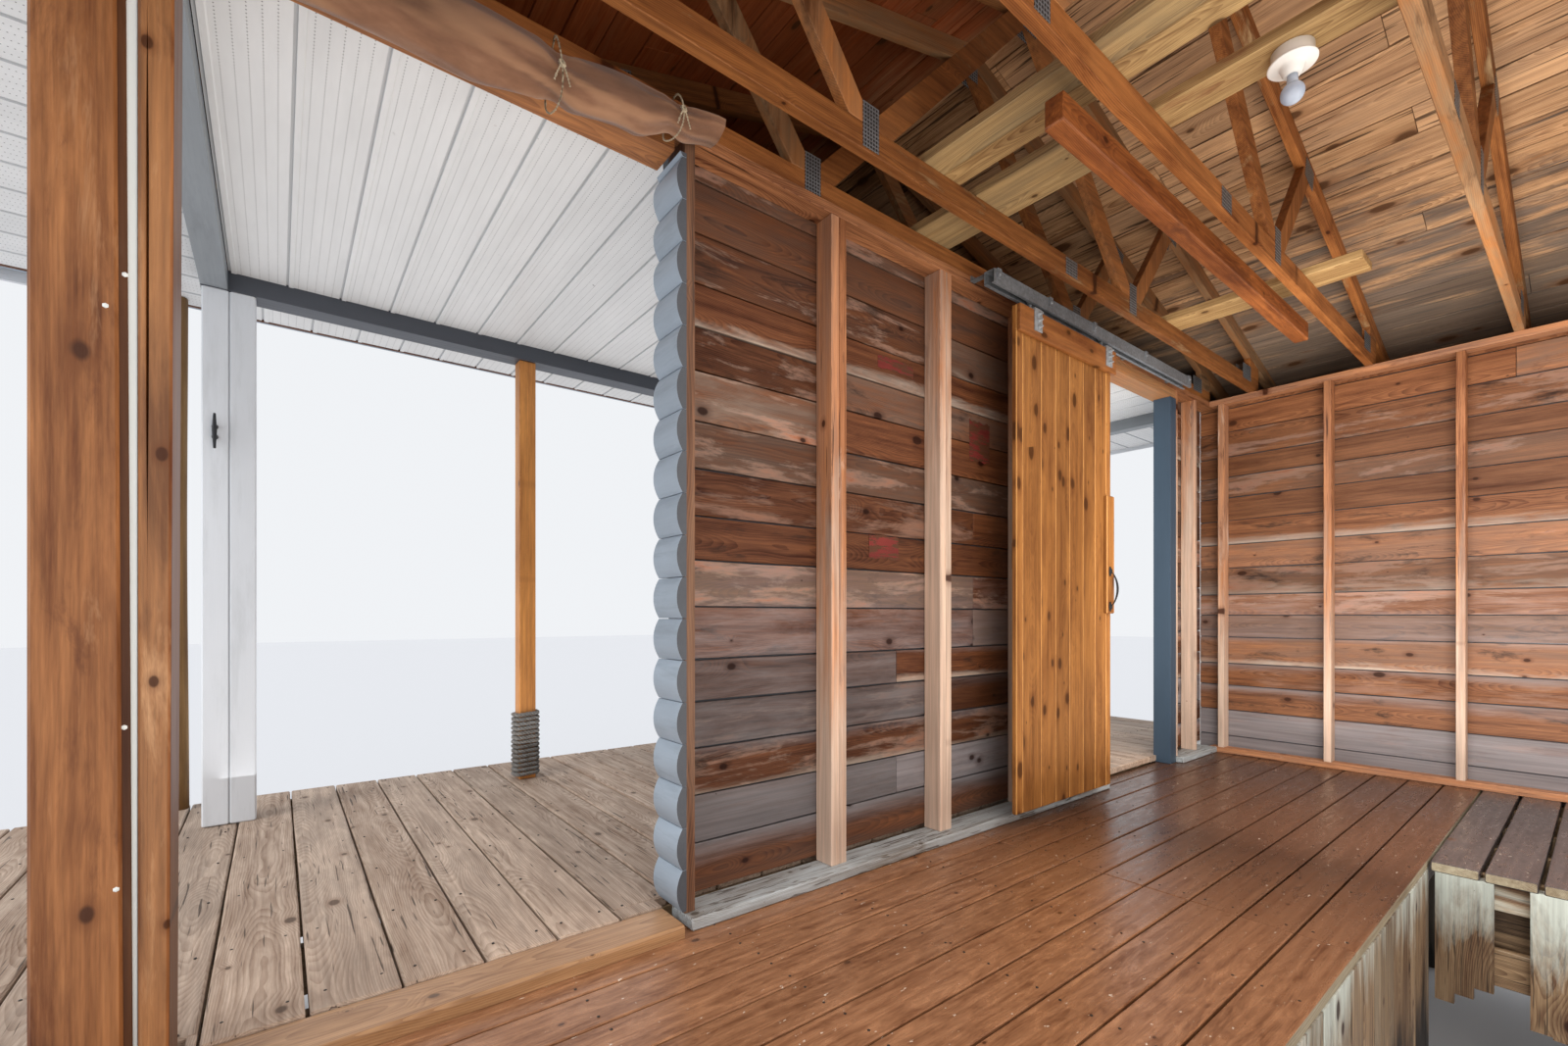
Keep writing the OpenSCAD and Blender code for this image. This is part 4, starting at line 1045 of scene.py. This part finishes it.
# The eased faces take the pale painted highlight
door, eased = Pieces("door_boards", 111), dict(cap=1, sides=(0, 2, 4, 6))
for x0, x1, tone in zip(SEAMS, SEAMS[1:], (1, 0.5, 0.75, 0.35, 0.65, 0.25, 0.55, 0.85)):
    mid = Vector(((x0 + x1) / 2, (FRONT + BACK) / 2, 0))
    door.plank(mid + Z * lo.z, mid + Z * hi.z, X, x1 - x0 - 0.0012, LEAF_T, ease=0.0035, tone=tone, **eased)
door.box((lo.x, lo.y, hi.z - RAIL_H), (hi.x, FRONT, hi.z), 0, ease=0.003, tone=0.4, wear=lambda p: 1)
for z in (lo.z + 0.15, lo.z + 1.11, hi.z - RAIL_H):
    door.box((lo.x + 0.03, BACK, z), (hi.x - 0.05, hi.y, z + RAIL_H), 0)
door.box((END - PULL_W, lo.y, 1.98), (END, FRONT, 2.6), 2, ease=0.004, tone=0.7, **eased)
door.finish([M_DOOR, M_EDGE_HIGHLIGHT], "cedar", "sliding_door", body="door")
# Black pull: two oval bases and a thin bowed grip
iron = Pieces("door_pull", 112)
GRIP_X, GRIP_Z, GRIP_H = 0.955, 2.016, 0.185
for z in (GRIP_Z, GRIP_Z + GRIP_H):
    iron.loft([ring_of(Vector((GRIP_X, lo.y - h, z)), X * k, Z * (k * 0.026 / 0.012), 0.012, 16)
        for h, k in ((-0.001, 1), (0.003, 1), (0.006, 0.6), (0.012, 0.4))], -Y, smooth=True)
grip = [Vector((GRIP_X, lo.y - 0.006 - 0.034 * sin(pi * k / 14) ** 0.7, GRIP_Z + GRIP_H * k / 14))
    for k in range(15)]
iron.loft([ring_of(p, X, (Y + Z * (k - 7) * 0.1).normalized(), 0.0055, 10) for k, p in enumerate(grip)], Z,
    smooth=True)
iron.finish(M_IRON, "galvanized", body="door")
hangers = Pieces("door_hangers", 113).cad("door_hangers", Z, 0.0008)
BOLT = [(0, 0.009), (0.003, 0.009), (0.0035, 0.0075), (0.009, 0.0072), (0.0095, 0.0042), (0.022, 0.004),
    (0.023, 0.003)]
for x in (0.262, 0.942):
    for z in (3.295, 3.325, 3.355):
        lathe(hangers, (x, lo.y - 0.004, z), -Y, BOLT, 10)
hangers.finish(M_GALV, "galvanized", "door_hangers", body="door")

# Bolts of the track's brackets, on the hook and on the lug behind
bolts = Pieces("track_bolts", 114)
for x in (-0.025, 0.395, 0.82, 1.415, 2.025):
    head(bolts, (x, 1.743, 3.452), -Y, 0.007, 0.004)
    head(bolts, (x, 1.88, 3.488), -Y, 0.006, 0.004)
bolts.finish(M_GALV, "galvanized")

# Canvas curtain: wound into a slack roll and gathered by its ties; the cuts are (x, lowest z, highest z)
lo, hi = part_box("canvas_roll")
CUTS = ((-2.64, 3.262, 3.47), (-2.42, 3.262, 3.48), (-2.14, 3.258, 3.48), (-1.93, 3.292, 3.468),
    (-1.7, 3.33, 3.48), (-1.58, 3.38, 3.486), (-1.43, 3.425, 3.492))
TIES, ROLL_Y, ROLL_DEPTH, TIE_Y = (-1.93, -1.58), 1.807, 0.06, 0.0615
STATIONS, ROUND, WOUND = 150, 48, 5.5


def bell(x, width):
    return exp(-(x / width) ** 2)


def roll_at(x):
    """Middle height and half height of the roll at x."""
    for (xa, la, ha), (xb, lb, hb) in zip(CUTS, CUTS[1:]):
        if x <= xb:
            break
    f = min(1, max(0, (x - xa) / (xb - xa)))
    f = f * f * (3 - 2 * f)
    low, high = la + (lb - la) * f, ha + (hb - ha) * f
    return (low + high) / 2, (high - low) / 2


def roll_point(x, turn):
    """A point of the wound cloth and its fold; turn counts from the loose edge inwards."""
    mid, half = roll_at(x)
    a = 2 * pi * turn
    off = x - min(TIES, key=lambda t: abs(x - t))
    pinch = 1 - 0.2 * bell(off, 0.035) + 0.06 * bell(abs(off) - 0.16, 0.09)
    fan = bell(off, 0.14)
    ridge = sin(7 * a + 2.2 * atan(off / 0.05) + 0.6)
    folds = (0.06 * sin(2 * a + 7 * x + 0.6) + 0.05 * sin(3 * a - 11 * x + 2)
        + (0.02 + 0.11 * fan) * (ridge * abs(ridge)) + 0.02 * sin(9 * a + 27 * x))
    slack = 0.05 * sin(5.3 * x + 0.8 * a) * (1 - fan)
    k = max(0.12, min((0.88 - 0.115 * turn + folds * 0.6 + slack) * pinch, 0.985))
    return Vector((x, ROLL_Y + ROLL_DEPTH * k * sin(a), mid + half * k * cos(a))), folds


grid = [[roll_point(lo.x + (hi.x - lo.x) * i / (STATIONS - 1), 0.1 + k / ROUND)
    for k in range(int(ROUND * WOUND) + 1)] for i in range(STATIONS)]
cols, run = len(grid[0]), lengths([p for p, _ in grid[STATIONS // 3]])
faces = [(i + k, i + cols + k, i + cols + k + 1, i + k + 1)
    for i in range(0, (STATIONS - 1) * cols, cols) for k in range(cols - 1)]
roll = Pieces("canvas_roll", 121).put([p for row in grid for p, _ in row], faces, X, side=Z, tone=0.5,
    smooth=True)
roll.grain = [(p.x, along, 0) for row in grid for (p, _), along in zip(row, run)]
# The fold height sets where the painted highlight falls on the ridges
roll.wear = [max(0, min(1, fold * 12)) for row in grid for _, fold in row]
canvas = roll.finish(M_CANVAS, "canvas", "canvas_roll")

# Ties: a rope loop round the roll, up to the header, with a knot and two short ends
ties, TIE_R, KNOT_R, HEADER_Z = Pieces("canvas_ties", 122), 0.0032, 0.003, 3.488
for x in TIES:
    mid, half = roll_at(x)
    rope(ties, [(x + 0.006 * sin(a * 2), ROLL_Y + TIE_Y * sin(a), mid + (half + 0.0045) * cos(a))
        for a in [2 * pi * s for s in parts(48)]], TIE_R)
    back = LAND_Y - STUD - ROLL_Y - TIE_Y
    rope(ties, [(x, ROLL_Y + TIE_Y + back * s, mid + 0.01 * sin(pi * s) + (HEADER_Z - mid) * s ** 2)
        for s in parts(12)], TIE_R)
    front = Vector((x, ROLL_Y - 0.0635, mid - 0.01))
    rope(ties, [front + Vector((0.007 * sin(3 * a), -0.004 * cos(2 * a), 0.007 * cos(3 * a + 0.6)))
        for a in [2 * pi * s for s in parts(24)]], KNOT_R)
    for side in (-1, 1):
        rope(ties, [front + Vector((side * 0.02 * s, -0.002, -0.05 * s ** 1.3)) for s in parts(8)], KNOT_R)
tie_ob = ties.finish(M_ROPE, "rope", "canvas_ties")

# Stage, light and background
sc.view_settings.view_transform = "Standard"
me = bpy.data.meshes.new("stage_floor")
me.from_pydata([(-60, -60, 0), (60, -60, 0), (60, 60, 0), (-60, 60, 0)], [], [(0, 1, 2, 3)])
me.materials.append(material("stage_pale").done(lin("dfe0e3"), 0.9))
place("stage_floor", me)

# The sky lights at 0.85 and shows at 0.92 to the camera, in gloss and through glass
sky = Tree(bpy.data.worlds.new("pale_world"), "Background")
sc.world = sky.owner
eye, gloss, through = (sky.add("LightPath", out="Is " + ray + " Ray")
    for ray in ("Camera", "Glossy", "Transmission"))
seen = sky.math("MAXIMUM", eye, sky.math("MAXIMUM", gloss, through))
sky.put(sky.main.inputs[0], (0.95, 0.97, 1))
sky.put(sky.main.inputs[1], sky.band(seen, 0, 1, 0.85, 0.92))


def light(name, kind, power):
    li = bpy.data.lights.new(name, kind)
    li.energy = power
    return li, place(name, li)


for name, loc, rot, size, power, color in (
        ("room_down", (0, -1.2, 3.42), (0, 0, 0), (5, 5.4), 135, (1, 0.96, 0.9)),
        ("room_up", (0, -1, 1.15), (180, 0, 0), (5.2, 5), 134, (1, 0.94, 0.86)),
        ("land_fill", (-1.2, -1.2, 2.2), (90, 0, -20), (2.4, 1.8), 30, (1, 0.97, 0.94)),
        ("right_fill", (-2.7, -1.6, 2.2), (90, 0, -90), (2.6, 1.6), 44, (1, 0.96, 0.9)),
        ("left_glow", (-6.5, 2.4, 2.3), (90, 0, -90), (3.2, 2.4), 42, (1, 1, 1)),
        ("far_fill", (0.7, 0.3, 2.2), (90, 0, -90), (2.2, 1.6), 62, (1, 0.97, 0.93)),
        ("porch_up", (0.5, 3.5, 1.25), (180, 0, 0), (6.4, 2), 42, (1, 1, 1))):
    li, ob = light(name, "AREA", power)
    li.shape = "RECTANGLE"
    li.size, li.size_y = size
    li.color = color
    ob.location = loc
    ob.rotation_euler = [radians(a) for a in rot]
    ob.visible_camera = ob.visible_glossy = False
sun, sun_ob = light("sun", "SUN", 1.35)
sun.angle = 0.5
sun_ob.rotation_euler = Vector((-0.72, -0.3, 0.62)).to_track_quat("Z", "Y").to_euler()
